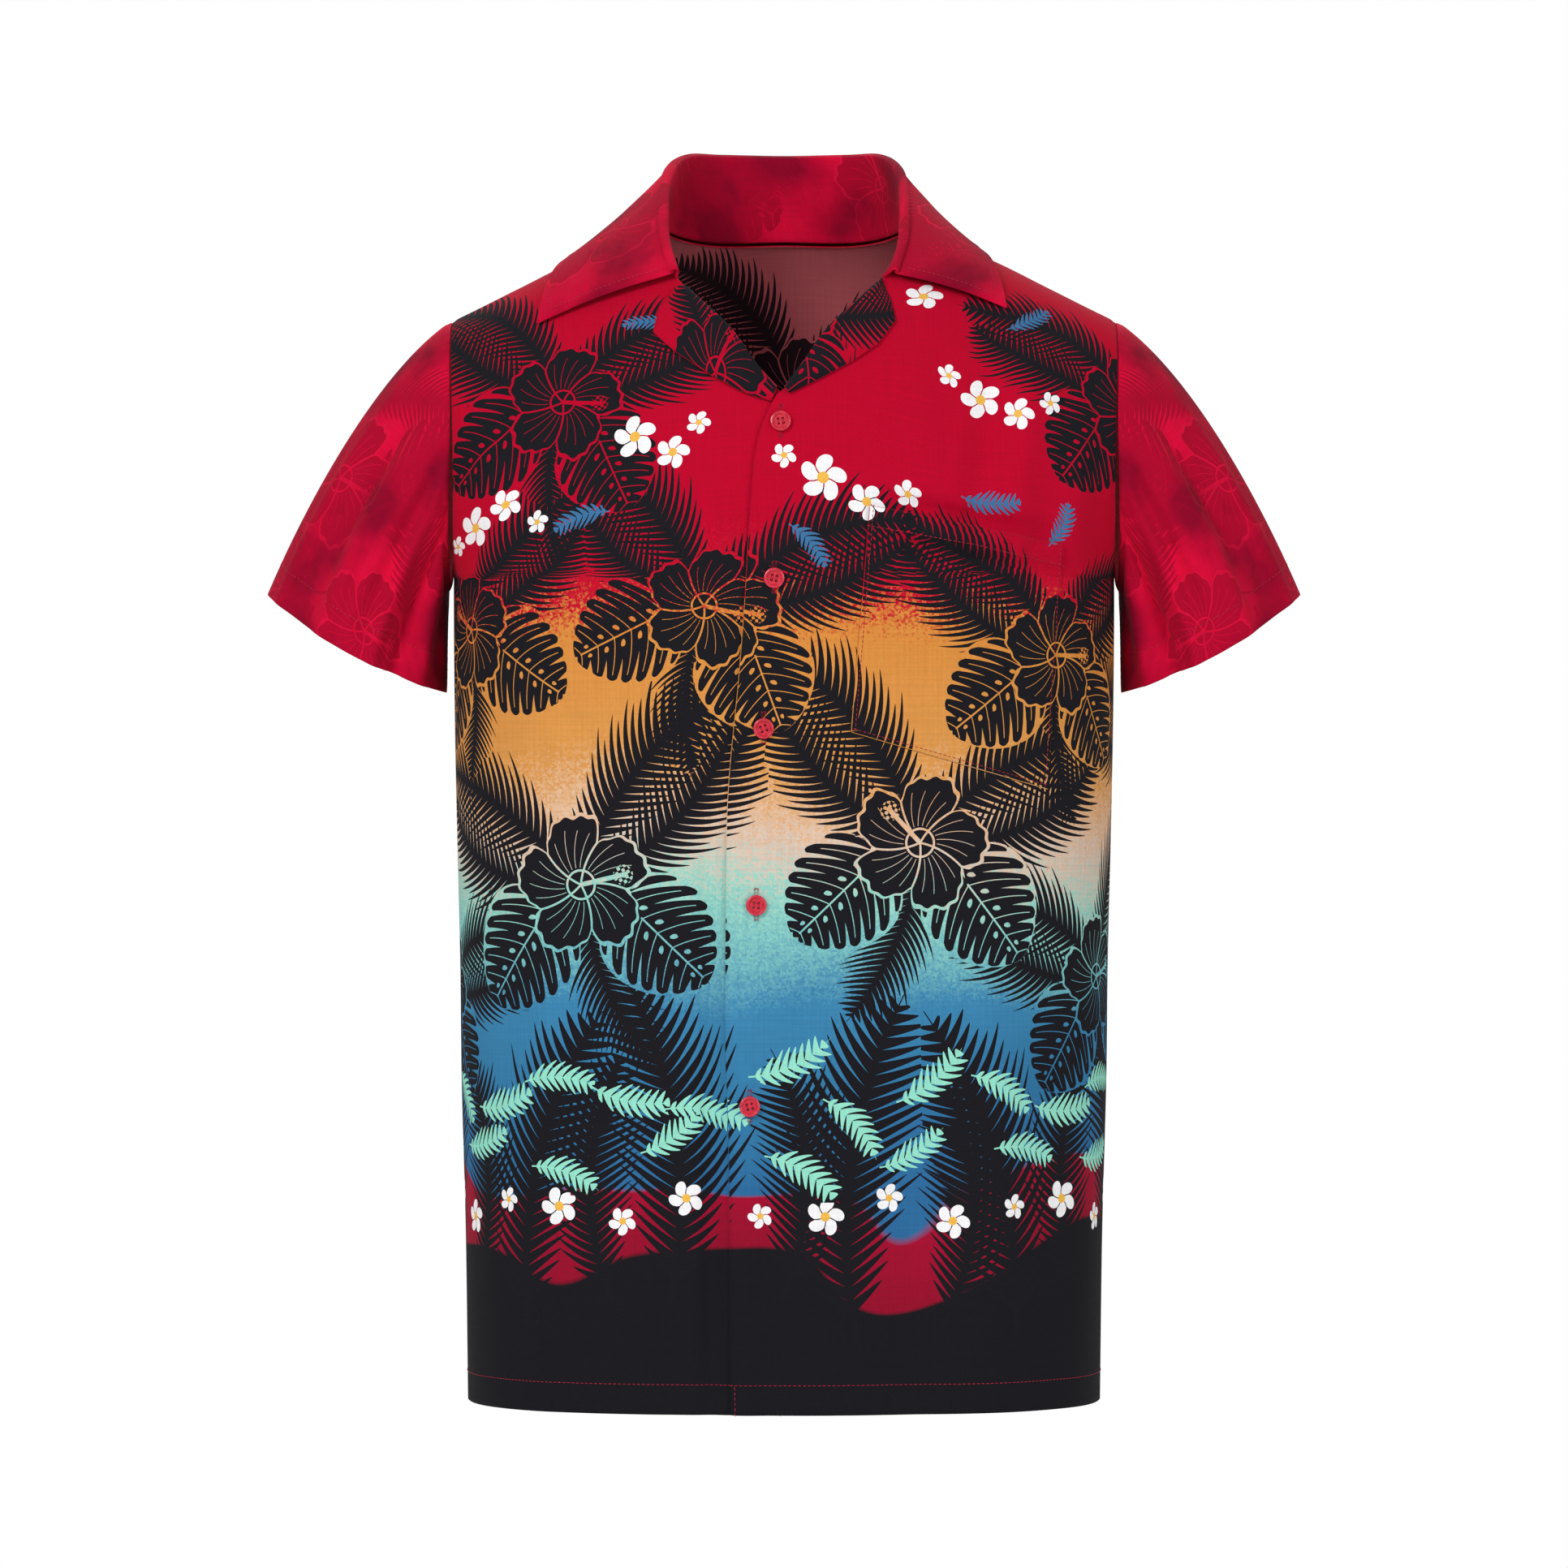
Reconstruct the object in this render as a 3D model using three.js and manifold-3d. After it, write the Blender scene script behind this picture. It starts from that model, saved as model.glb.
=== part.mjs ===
// Short-sleeved camp-collar shirt, filled out as if worn, with nobody in it.
// Millimetres, +Z up, front towards -Y, +X towards the wearer's left.
// The origin is the middle of the neck opening, level with the neck ends of the shoulder seams.

import * as THREE from 'three';
import { mergeVertices } from 'three/addons/utils/BufferGeometryUtils.js';
import Module from 'manifold-3d';

const manifoldLibrary = await Module();
manifoldLibrary.setup();

// Driving dimensions
const CLOTH = 1.6;
const COLLAR_CLOTH = 2.0;
const SEAM_GAP = 0.3;
const HEM_Z = -729;
const ARMPIT_Z = -215;
const SHOULDER_POINT = { x: 209.5, z: -50 };
const SECTION_POWER = 2.6;
const FRONT_ROUNDING = 230;
const BACK_ROUNDING = 150;
const ROUNDING_POWER = 2.6;
const ARMHOLE = { frontDepth: 66, backDepth: 68 };
const NECK = { halfWidth: 76, backDepth: 78 };
const LAP_LIFT = 1.35;
const LAP = 32;
const LAP_FADE = { from: 30, over: 50 };
const LAPEL = { seat: 1.75, roundness: 3.4, rollStart: 0.15, rollSpan: 0.8 };
const FOLD_SOFTNESS = { spread: 1.6, ends: 0.8, edgeDepth: 60 };

// Grid sizes: cells across half of the body, below and above the armpit, and so on
const HALF_CELLS = 14;
const LOWER_CELLS = 13;
const UPPER_CELLS = 12;
const SLEEVE_CELLS = 10;
const COLLAR_CELLS = 15;
const LAPEL_CELLS = { along: 9, across: 4 };
const POCKET_CELLS = { across: 8, down: 8 };
const SIDE_CROWDING = 1.15;

// How closely a height is searched for, and the share of the armhole that counts as its very top
const SEARCH_STEPS = 30;
const ARMHOLE_TOP_SHARE = 0.999;

// Body sections: half width at the side seam or armhole, and how far the front and back stand out
const SECTIONS = [
  { z: -729, half: 199, front: 138, back: 132 },
  { z: -620, half: 200.5, front: 136, back: 128 },
  { z: -530, half: 203, front: 134, back: 123 },
  { z: -450, half: 204, front: 132, back: 120 },
  { z: -370, half: 206, front: 131, back: 122 },
  { z: -290, half: 207.5, front: 131, back: 127 },
  { z: -215, half: 208, front: 130, back: 130 },
  { z: -130, half: 207, front: 128, back: 130 },
  { z: -50, half: 209.5, front: 124, back: 125 },
  { z: 30, half: 209.5, front: 120, back: 122 },
];

// Ridge of the shoulders, carried on inwards over the neck opening
const SHOULDER_LINE = [
  { x: 0, z: 32 },
  { x: 76, z: 8 },
  { x: 128, z: -10 },
  { x: 167, z: -29 },
  { x: 192, z: -41.5 },
  { x: 209.5, z: -50 },
];

// Edge of the upper (wearer's left) front from the hem to the top button
const FRONT_EDGE = [
  { z: -729, x: -32 },
  { z: -554, x: -34 },
  { z: -500, x: -36 },
  { z: -370, x: -35 },
  { z: -332, x: -33 },
  { z: -281, x: -28 },
  { z: -230, x: -24 },
  { z: -180, x: -21 },
  { z: -128, x: -15.5 },
  { z: -98, x: -3 },
];

// Roll of the open neck on the front, from the break above the top button up to the shoulder seam
const ROLL_LINE = [
  { z: -98, left: 1, right: 5 },
  { z: -84, left: 12, right: 18 },
  { z: -60, left: 29, right: 35 },
  { z: -28, left: 61, right: 66 },
  { z: -10, left: 72, right: 73 },
  { z: 8, left: 76, right: 76 },
];

// Outer edge of each turned-out lapel, from the break to the top of the roll; side is +1 for left
const LAPELS = {
  left: {
    side: 1,
    edge: [
      { x: 3, z: -101 },
      { x: 20, z: -93 },
      { x: 42, z: -81 },
      { x: 58, z: -70 },
      { x: 69, z: -55 },
      { x: 66, z: -42 },
      { x: 60, z: -28 },
    ],
  },
  right: {
    side: -1,
    edge: [
      { x: 8, z: -106 },
      { x: 24, z: -101 },
      { x: 43, z: -91 },
      { x: 68, z: -74 },
      { x: 81, z: -62 },
      { x: 77, z: -47 },
      { x: 67, z: -33 },
    ],
  },
};

// Collar stations from the middle of the back to the gorge: fold line and outer edge, seen in plan.
// The first row mirrors the third, so that the collar crosses the middle of the back smoothly.
const COLLAR_STATIONS = [
  { at: -0.2, foldX: -40, foldY: 75, foldZ: 62, edgeX: -47, edgeY: 88, roll: 0 },
  { at: 0.0, foldX: 0, foldY: 84, foldZ: 62, edgeX: 0, edgeY: 98, roll: 0 },
  { at: 0.2, foldX: 40, foldY: 75, foldZ: 62, edgeX: 47, edgeY: 88, roll: 0 },
  { at: 0.38, foldX: 62, foldY: 49, foldZ: 60, edgeX: 92, edgeY: 66, roll: 0 },
  { at: 0.55, foldX: 73, foldY: 14, foldZ: 49, edgeX: 125, edgeY: 34, roll: 0 },
  { at: 0.72, foldX: 76, foldY: -24, foldZ: 27, edgeX: 138, edgeY: -6, roll: 0.15 },
  { at: 0.87, foldX: 75, foldY: -58, foldZ: 0, edgeX: 147, edgeY: -38, roll: 0.6 },
  { at: 1.0, foldX: 69, foldY: -82, foldZ: -22, edgeX: 153, edgeY: -66, roll: 1 },
];
const COLLAR_SPREAD = { left: 0.9, right: 1.0 };
const COLLAR_FOLD = { radius: 3.4, tighter: 0.3, footDown: 1.2, cheekOut: 0.75, cheekDown: 0.35 };
const COLLAR_FALL = { edgeLift: 3.6, bow: 3, steps: [0.3, 0.6, 0.85, 1] };
const COLLAR_SEAM_RISE = 2.1;
const COLLAR_SHOULDER_AT = 0.6;
const GORGE = { z: -28, leanOut: 0.25, leanForward: -0.72, leanUp: 0.65 };

// Sleeve: hem ring, and how far the cloth runs straight on from the armhole and into the hem
const SLEEVE_HEM = { x: 270, z: -253, halfMajor: 64, halfDepth: 61, tiltX: 0.877, tiltZ: 0.481, dip: 8 };
const SLEEVE_CAP = { outX: 0.83, outZ: -0.56, reach: 52 };
const SLEEVE_UNDER = { outX: 0.14, outZ: -0.99, reach: 20 };
const SLEEVE_FALL = { capX: 0.39, underX: 0.05, z: -0.92, capReach: 70, underReach: 20 };
const SLEEVE_CLEARANCE = { gap: 5, within: 0.125 };

// Largest folds of the body: depth is inwards where negative, and lean shifts the foot sideways
const FRONT_FOLDS = [
  { x: 118, top: -45, bottom: -168, width: 44, depth: -5, lean: 14 },
  { x: 158, top: -60, bottom: -185, width: 40, depth: 5, lean: 6 },
  { x: -128, top: -60, bottom: -210, width: 46, depth: -4, lean: -12 },
  { x: -92, top: -420, bottom: -760, width: 62, depth: -5, lean: -18 },
  { x: -150, top: -330, bottom: -760, width: 56, depth: 5, lean: -10 },
  { x: 74, top: -520, bottom: -770, width: 56, depth: -5, lean: 10 },
  { x: 128, top: -370, bottom: -770, width: 58, depth: 5, lean: 16 },
];
const BACK_FOLDS = [
  { x: -96, top: -110, bottom: -420, width: 60, depth: -6, lean: 12 },
  { x: 88, top: -150, bottom: -500, width: 58, depth: -5, lean: -10 },
  { x: -30, top: -330, bottom: -770, width: 66, depth: 6, lean: -14 },
  { x: 56, top: -400, bottom: -770, width: 60, depth: -6, lean: 16 },
  { x: 140, top: -300, bottom: -770, width: 56, depth: 5, lean: 8 },
  { x: -146, top: -380, bottom: -770, width: 56, depth: -5, lean: -8 },
];

// Largest folds of a sleeve: angle round from the top towards the front, and start and end down it
const SLEEVE_FOLDS = [
  { angle: 48, start: 0.15, end: 1.15, width: 30, depth: -4 },
  { angle: 82, start: 0.05, end: 1.1, width: 28, depth: 4 },
  { angle: 116, start: 0.2, end: 1.2, width: 30, depth: -6 },
  { angle: 232, start: 0.1, end: 1.1, width: 32, depth: -5 },
  { angle: 268, start: 0.25, end: 1.2, width: 30, depth: 4 },
  { angle: 306, start: 0.1, end: 0.95, width: 32, depth: -4 },
];

// Patch pocket on the wearer's left chest: corners on the front, and how far its mouth stands off
const POCKET = {
  topInner: { x: 53, z: -171 },
  topOuter: { x: 173, z: -194 },
  bottomInner: { x: 41.5, z: -310 },
  bottomOuter: { x: 163, z: -345 },
  seatGap: 1.1,
  mouthGape: 5,
  gapeFade: 3,
};

// Buttons down the lap
const BUTTON = { radius: 6.35, thickness: 2.6, rim: 1.3, dish: 0.6, edgeRound: 0.5, sides: 20 };
const BUTTON_HOLE = { radius: 0.75, offset: 1.45, sides: 8 };
const BUTTON_SEAT = 0.35;
const BUTTONS = [
  { x: -2, z: -119 },
  { x: -6, z: -215.5 },
  { x: -12.5, z: -308 },
  { x: -17, z: -416.5 },
  { x: -21, z: -540 },
];

const PRINTED_RAYON = { color: 0xb5122c, roughness: 0.78, metalness: 0 };
const RED_RAYON = { color: 0x9c0f2a, roughness: 0.78, metalness: 0 };
const RED_PLASTIC = { color: 0xb3182f, roughness: 0.3, metalness: 0 };

const shirt = new THREE.Group();
shirt.name = 'hawaiian_shirt';

// Smooth value of one column of a table at a place given in another column
function readTable(rows, placeColumn, column, place) {
  const ordered = rows[0][placeColumn] < rows[rows.length - 1][placeColumn] ? rows : [...rows].reverse();
  const last = ordered.length - 1;
  if (place <= ordered[0][placeColumn]) return ordered[0][column];
  if (place >= ordered[last][placeColumn]) return ordered[last][column];
  const found = ordered.findIndex((row) => row[placeColumn] > place) - 1;
  const slope = (row) => {
    const before = ordered[Math.max(row - 1, 0)];
    const after = ordered[Math.min(row + 1, last)];
    return (after[column] - before[column]) / (after[placeColumn] - before[placeColumn]);
  };
  const from = ordered[found];
  const to = ordered[found + 1];
  const span = to[placeColumn] - from[placeColumn];
  const t = (place - from[placeColumn]) / span;
  const startWeight = (1 + 2 * t) * (1 - t) * (1 - t);
  const endWeight = t * t * (3 - 2 * t);
  const startSlope = t * (1 - t) * (1 - t) * span * slope(found);
  const endSlope = t * t * (1 - t) * span * slope(found + 1);
  return startWeight * from[column] + endWeight * to[column] + startSlope - endSlope;
}

// A point part of the way along an open row of points
function pointAlong(points, share) {
  const place = share * (points.length - 1);
  const found = Math.min(Math.floor(place), points.length - 2);
  return points[found].clone().lerp(points[found + 1], place - found);
}

// A rounded bump across a distance, one in the middle and nothing from the half width on
function bump(distance, width) {
  const reach = Math.min(Math.abs(distance) / (width / 2), 1);
  return 0.5 + 0.5 * Math.cos(Math.PI * reach);
}

// A closed cloth wall through a grid of points on its middle, half its thickness to each side.
// flatSide and flatTop say at which grid points a seam edge is cut square to the Y axis.
function clothWall(grid, thickness, { round = false, flatSide = false, flatTop = false } = {}) {
  const rows = grid.length;
  const columns = grid[0].length;
  const normals = grid.map((line, row) => line.map((point, column) => {
    const nextColumn = round ? (column + 1) % columns : Math.min(column + 1, columns - 1);
    const lastColumn = round ? (column + columns - 1) % columns : Math.max(column - 1, 0);
    const across = line[nextColumn].clone().sub(line[lastColumn]);
    const along = grid[Math.min(row + 1, rows - 1)][column].clone().sub(grid[Math.max(row - 1, 0)][column]);
    const normal = across.cross(along);
    const onSide = flatSide && flatSide(row, column);
    const onTop = flatTop && flatTop(row, column);
    if (onSide || onTop) normal.y = 0;
    return normal.normalize();
  }));
  const positions = [];
  for (const half of [thickness / 2, -thickness / 2]) {
    grid.forEach((line, row) => line.forEach((point, column) => {
      positions.push(...point.clone().addScaledVector(normals[row][column], half).toArray());
    }));
  }
  const outside = (row, column) => row * columns + (column % columns);
  const inside = (row, column) => rows * columns + outside(row, column);
  const faces = [];
  const addQuad = (a, b, c, d) => faces.push(a, b, c, a, c, d);
  const cells = round ? columns : columns - 1;
  for (let row = 0; row < rows - 1; row += 1) {
    for (let column = 0; column < cells; column += 1) {
      const next = column + 1;
      addQuad(outside(row, column), outside(row, next), outside(row + 1, next), outside(row + 1, column));
      addQuad(inside(row, column), inside(row + 1, column), inside(row + 1, next), inside(row, next));
    }
  }
  for (let column = 0; column < cells; column += 1) {
    addQuad(outside(0, column + 1), outside(0, column), inside(0, column), inside(0, column + 1));
    const end = rows - 1;
    addQuad(outside(end, column), outside(end, column + 1), inside(end, column + 1), inside(end, column));
  }
  for (let row = 0; row < rows - 1 && !round; row += 1) {
    const end = columns - 1;
    addQuad(outside(row, 0), outside(row + 1, 0), inside(row + 1, 0), inside(row, 0));
    addQuad(outside(row + 1, end), outside(row, end), inside(row, end), inside(row + 1, end));
  }
  const geometry = new THREE.BufferGeometry();
  geometry.setAttribute('position', new THREE.Float32BufferAttribute(positions, 3));
  geometry.setIndex(faces);
  if (signedVolume(geometry) < 0) {
    for (let start = 0; start < faces.length; start += 3) {
      [faces[start + 1], faces[start + 2]] = [faces[start + 2], faces[start + 1]];
    }
    geometry.setIndex(faces);
  }
  geometry.computeVertexNormals();
  return geometry;
}

function signedVolume(geometry) {
  const points = geometry.getAttribute('position');
  const index = geometry.getIndex();
  const corner = [new THREE.Vector3(), new THREE.Vector3(), new THREE.Vector3()];
  let volume = 0;
  for (let start = 0; start < index.count; start += 3) {
    corner.forEach((point, step) => point.fromBufferAttribute(points, index.getX(start + step)));
    volume += corner[0].dot(corner[1].clone().cross(corner[2])) / 6;
  }
  return volume;
}

function addPiece(name, geometry, finish) {
  const material = new THREE.MeshStandardMaterial({ ...finish, side: THREE.DoubleSide });
  const mesh = new THREE.Mesh(geometry, material);
  mesh.name = name;
  shirt.add(mesh);
  return mesh;
}

// Body form
// One superellipse section at each height, drawn in to nothing along the shoulder ridge.
// A height above the armpit is a share of the way from the armpit up to the ridge, so the
// armhole keeps the same shares on the body and on the sleeve.

const FRONT = {
  sign: -1,
  rounding: FRONT_ROUNDING,
  column: 'front',
  armhole: ARMHOLE.frontDepth,
  folds: FRONT_FOLDS,
};
const BACK = {
  sign: 1,
  rounding: BACK_ROUNDING,
  column: 'back',
  armhole: ARMHOLE.backDepth,
  folds: BACK_FOLDS,
};

const ridgeZ = (x) => readTable(SHOULDER_LINE, 'x', 'z', Math.abs(x));
const sectionAt = (z, column) => readTable(SECTIONS, 'z', column, z);

function roundedShare(drop, rounding) {
  const share = Math.min(Math.max(drop / rounding, 0), 1);
  return Math.sqrt(1 - (1 - share) ** ROUNDING_POWER);
}

function armholeZ(share) {
  return ARMPIT_Z + (SHOULDER_POINT.z - ARMPIT_Z) * share;
}

function armholeDepth(face, share) {
  return face.armhole * 2 * Math.sqrt(Math.max(share * (1 - share), 0));
}

// Half width at which the section would close if it had no armhole
function fullHalfWidth(face, share) {
  const z = armholeZ(share);
  const half = sectionAt(z, 'half');
  const reach = sectionAt(z, face.column) * roundedShare(SHOULDER_POINT.z - z, face.rounding);
  const armholeHeight = SHOULDER_POINT.z - ARMPIT_Z;
  const steepness = Math.sqrt(face.rounding / (ROUNDING_POWER * armholeHeight));
  const ratioAtTop = ((2 * face.armhole) / sectionAt(z, face.column)) * steepness;
  const ratio = share > ARMHOLE_TOP_SHARE ? ratioAtTop : armholeDepth(face, share) / reach;
  return half / (1 - ratio ** SECTION_POWER) ** (1 / SECTION_POWER);
}

function foldAt(face, x, z) {
  return face.folds.reduce((total, fold) => {
    const down = (fold.top - z) / (fold.top - fold.bottom);
    if (down <= 0 || down >= 1) return total;
    const middle = fold.x + fold.lean * down;
    const ends = Math.sin(Math.PI * down) ** FOLD_SOFTNESS.ends;
    return total + fold.depth * bump(x - middle, fold.width * FOLD_SOFTNESS.spread) * ends;
  }, 0);
}

// How far the face stands out from the side plane at a place on it
function depthAt(face, x, z) {
  if (z <= ARMPIT_Z) {
    const side = Math.min(Math.abs(x) / sectionAt(z, 'half'), 1);
    return sectionAt(z, face.column) * (1 - side ** SECTION_POWER) ** (1 / SECTION_POWER);
  }
  const share = Math.min((z - ARMPIT_Z) / (ridgeZ(x) - ARMPIT_Z), 1);
  const side = Math.min(Math.abs(x) / fullHalfWidth(face, share), 1);
  const section = sectionAt(z, face.column) * (1 - side ** SECTION_POWER) ** (1 / SECTION_POWER);
  return section * roundedShare(ridgeZ(x) - z, face.rounding);
}

// A point on the face, moved out by lift, with the folds faded away towards side seam and ridge
function bodyPoint(face, x, z, lift = 0) {
  const depth = depthAt(face, x, z);
  const fade = Math.min(depth / FOLD_SOFTNESS.edgeDepth, 1);
  return new THREE.Vector3(x, face.sign * (depth + SEAM_GAP / 2 + lift + fade * foldAt(face, x, z)), z);
}

// Height of the body surface where it stands out by a given depth above the armpit
function heightForDepth(face, x, depth) {
  let low = ARMPIT_Z;
  let high = ridgeZ(x);
  for (let step = 0; step < SEARCH_STEPS; step += 1) {
    const middle = (low + high) / 2;
    if (depthAt(face, x, middle) > depth) low = middle;
    else high = middle;
  }
  return (low + high) / 2;
}

const upperShares = Array.from({ length: UPPER_CELLS }, (_, row) => {
  return (1 - Math.cos((Math.PI * (row + 1)) / UPPER_CELLS)) / 2;
});
const lowerHeights = Array.from({ length: LOWER_CELLS + 1 }, (_, row) => {
  return HEM_Z + ((ARMPIT_Z - HEM_Z) * row) / LOWER_CELLS;
});
const halfShares = Array.from({ length: HALF_CELLS + 1 }, (_, column) => {
  const angle = (Math.PI / 2) * (column / HALF_CELLS) ** SIDE_CROWDING;
  return Math.sin(angle) ** (2 / SECTION_POWER);
});

// Back: one panel from side seam to side seam, with the shoulder seams and the back of the neck on top

function neckHeight(x) {
  const depth = NECK.backDepth * Math.sqrt(Math.max(1 - (x / NECK.halfWidth) ** 2, 0));
  return heightForDepth(BACK, x, depth);
}

function makeBack() {
  const neckShare = NECK.halfWidth / SHOULDER_POINT.x;
  const nearest = halfShares.reduce((best, share) => (
    Math.abs(share - neckShare) < Math.abs(best - neckShare) ? share : best
  ));
  const shares = halfShares.map((share) => (share === nearest ? neckShare : share));
  const columns = [...shares.slice(1).reverse().map((share) => -share), ...shares];
  const lower = lowerHeights.map((z) => columns.map((share) => {
    return bodyPoint(BACK, share * sectionAt(z, 'half'), z);
  }));
  const upper = upperShares.map((rise) => columns.map((share) => {
    const x = share * sectionAt(armholeZ(rise), 'half');
    const top = Math.abs(x) < NECK.halfWidth ? neckHeight(x) : ridgeZ(x);
    return bodyPoint(BACK, x, ARMPIT_Z + (top - ARMPIT_Z) * rise);
  }));
  const grid = [...lower, ...upper];
  const end = columns.length - 1;
  const flatSide = (row, column) => row <= LOWER_CELLS && (column === 0 || column === end);
  const flatTop = (row, column) => row === grid.length - 1 && Math.abs(columns[column]) >= neckShare;
  return clothWall(grid, CLOTH, { flatSide, flatTop });
}

addPiece('back', makeBack(), PRINTED_RAYON);

// Fronts: each from its side seam to its front edge, and above the break to the roll of the neck

function lapEdge(z, side) {
  const upperEdge = readTable(FRONT_EDGE, 'z', 'x', z);
  return side > 0 ? upperEdge : upperEdge + LAP;
}

function rollShares(sideName) {
  return ROLL_LINE.map((row) => {
    const x = row[sideName];
    return { share: (row.z - ARMPIT_Z) / (ridgeZ(x) - ARMPIT_Z), x };
  });
}

// Lift of the upper front and drop of the lower one where they lap, faded out beside the lap
function lapLift(side, x) {
  const fade = 1 - Math.min(Math.max((side * x - LAP_FADE.from) / LAP_FADE.over, 0), 1);
  return side * LAP_LIFT * fade;
}

function makeFront(side, sideName) {
  const roll = rollShares(sideName);
  const breakShare = roll[0].share;
  const rises = [...upperShares, breakShare].sort((a, b) => a - b);
  const columns = halfShares;
  const frontPoint = (x, z) => bodyPoint(FRONT, x, z, lapLift(side, x));
  const lower = lowerHeights.map((z) => columns.map((share) => {
    const inner = lapEdge(z, side);
    const outer = side * sectionAt(z, 'half');
    return frontPoint(inner + (outer - inner) * share, z);
  }));
  const upper = rises.map((rise) => columns.map((share) => {
    const middleZ = ARMPIT_Z + (ridgeZ(0) - ARMPIT_Z) * rise;
    const onRoll = rise >= breakShare;
    const inner = onRoll ? side * readTable(roll, 'share', 'x', rise) : lapEdge(middleZ, side);
    const outer = side * sectionAt(armholeZ(rise), 'half');
    const x = inner + (outer - inner) * share;
    return frontPoint(x, ARMPIT_Z + (ridgeZ(x) - ARMPIT_Z) * rise);
  }));
  const grid = [...lower, ...upper];
  const end = columns.length - 1;
  const flatSide = (row, column) => row <= LOWER_CELLS && column === end;
  const flatTop = (row) => row === grid.length - 1;
  return clothWall(grid, CLOTH, { flatSide, flatTop });
}

addPiece('left_front', makeFront(1, 'left'), PRINTED_RAYON);
addPiece('right_front', makeFront(-1, 'right'), PRINTED_RAYON);

// Facings: the part of each that turns out over its front as a lapel, from the roll to its edge

function makeLapel({ side, edge }, sideName) {
  const rollAt = (z) => side * readTable(ROLL_LINE, 'z', sideName, z);
  const along = LAPEL_CELLS.along;
  const across = LAPEL_CELLS.across;
  const edgePoints = edge.map((point) => new THREE.Vector3(side * point.x, 0, point.z));
  const bottomZ = ROLL_LINE[0].z;
  const topZ = edge[edge.length - 1].z;
  const grid = Array.from({ length: along + 1 }, (_, row) => {
    const share = row / along;
    const rollZ = bottomZ + (topZ - bottomZ) * share;
    const outer = pointAlong(edgePoints, share);
    return Array.from({ length: across + 1 }, (__, column) => {
      const out = column / across;
      const x = rollAt(rollZ) + (outer.x - rollAt(rollZ)) * out;
      const z = rollZ + (outer.z - rollZ) * out;
      const roll = LAPEL.roundness * Math.sin(Math.PI * (LAPEL.rollStart + LAPEL.rollSpan * out));
      return bodyPoint(FRONT, x, z, LAPEL.seat + roll + lapLift(side, x));
    });
  });
  return clothWall(grid, CLOTH);
}

addPiece('left_facing', makeLapel(LAPELS.left, 'left'), RED_RAYON);
addPiece('right_facing', makeLapel(LAPELS.right, 'right'), RED_RAYON);

// Collar: one piece from gorge to gorge, up from the neck seam as a stand, over its fold and down
// as a fall that spreads over the shoulders

// Middle of the neck edge of the body below a place on the collar, from back (0) to gorge (1)
function neckSeamPoint(at, side, sideName) {
  if (at <= COLLAR_SHOULDER_AT) {
    const angle = (Math.PI / 2) * (at / COLLAR_SHOULDER_AT);
    const x = side * NECK.halfWidth * Math.sin(angle);
    return bodyPoint(BACK, x, neckHeight(x));
  }
  const ridge = ROLL_LINE[ROLL_LINE.length - 1].z;
  const z = ridge + (GORGE.z - ridge) * ((at - COLLAR_SHOULDER_AT) / (1 - COLLAR_SHOULDER_AT));
  return bodyPoint(FRONT, side * readTable(ROLL_LINE, 'z', sideName, z), z);
}

function collarSection(at, side, sideName) {
  const read = (column) => readTable(COLLAR_STATIONS, 'at', column, at);
  const standing = new THREE.Vector3(0, 0, 1);
  const rolling = new THREE.Vector3(side * GORGE.leanOut, GORGE.leanForward, GORGE.leanUp);
  const up = standing.lerp(rolling, read('roll')).normalize();
  const seam = neckSeamPoint(at, side, sideName).addScaledVector(up, COLLAR_SEAM_RISE);
  const fold = new THREE.Vector3(side * read('foldX'), read('foldY'), read('foldZ'));
  const edgeX = side * read('edgeX') * COLLAR_SPREAD[sideName];
  const edgeY = read('edgeY');
  const face = edgeY < 0 ? FRONT : BACK;
  const edge = new THREE.Vector3(edgeX, edgeY, heightForDepth(face, edgeX, Math.abs(edgeY)));
  edge.addScaledVector(up, COLLAR_FALL.edgeLift);
  const out = edge.clone().sub(seam);
  out.addScaledVector(up, -out.dot(up)).normalize();
  const radius = COLLAR_FOLD.radius * (1 - COLLAR_FOLD.tighter * read('roll'));
  const capPoint = (outward, downward) => fold.clone()
    .addScaledVector(out, outward * radius)
    .addScaledVector(up, -downward * radius);
  const { footDown, cheekOut, cheekDown } = COLLAR_FOLD;
  const inner = capPoint(-1, footDown);
  const outer = capPoint(1, footDown);
  const fall = COLLAR_FALL.steps.map((share) => outer.clone().lerp(edge, share)
    .addScaledVector(up, COLLAR_FALL.bow * Math.sin(Math.PI * share)));
  const stand = [seam, seam.clone().lerp(inner, 0.5), inner];
  return [...stand, capPoint(-cheekOut, cheekDown), fold, capPoint(cheekOut, cheekDown), outer, ...fall];
}

function makeCollar() {
  const half = (side, sideName) => Array.from({ length: COLLAR_CELLS + 1 }, (_, step) => {
    return collarSection(step / COLLAR_CELLS, side, sideName);
  });
  return clothWall([...half(-1, 'right').slice(1).reverse(), ...half(1, 'left')], COLLAR_CLOTH);
}

addPiece('collar', makeCollar(), RED_RAYON);

// Sleeves: a round tube from the armhole, out over the shoulder and down to the hem

function sleeveFold(angle, down) {
  return SLEEVE_FOLDS.reduce((total, fold) => {
    const reach = (down - fold.start) / (fold.end - fold.start);
    if (reach <= 0 || reach >= 1) return total;
    const apart = ((angle - fold.angle + 540) % 360) - 180;
    const ends = Math.sin(Math.PI * reach) ** FOLD_SOFTNESS.ends;
    return total + fold.depth * bump(apart, fold.width * FOLD_SOFTNESS.spread) * ends;
  }, 0);
}

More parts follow.
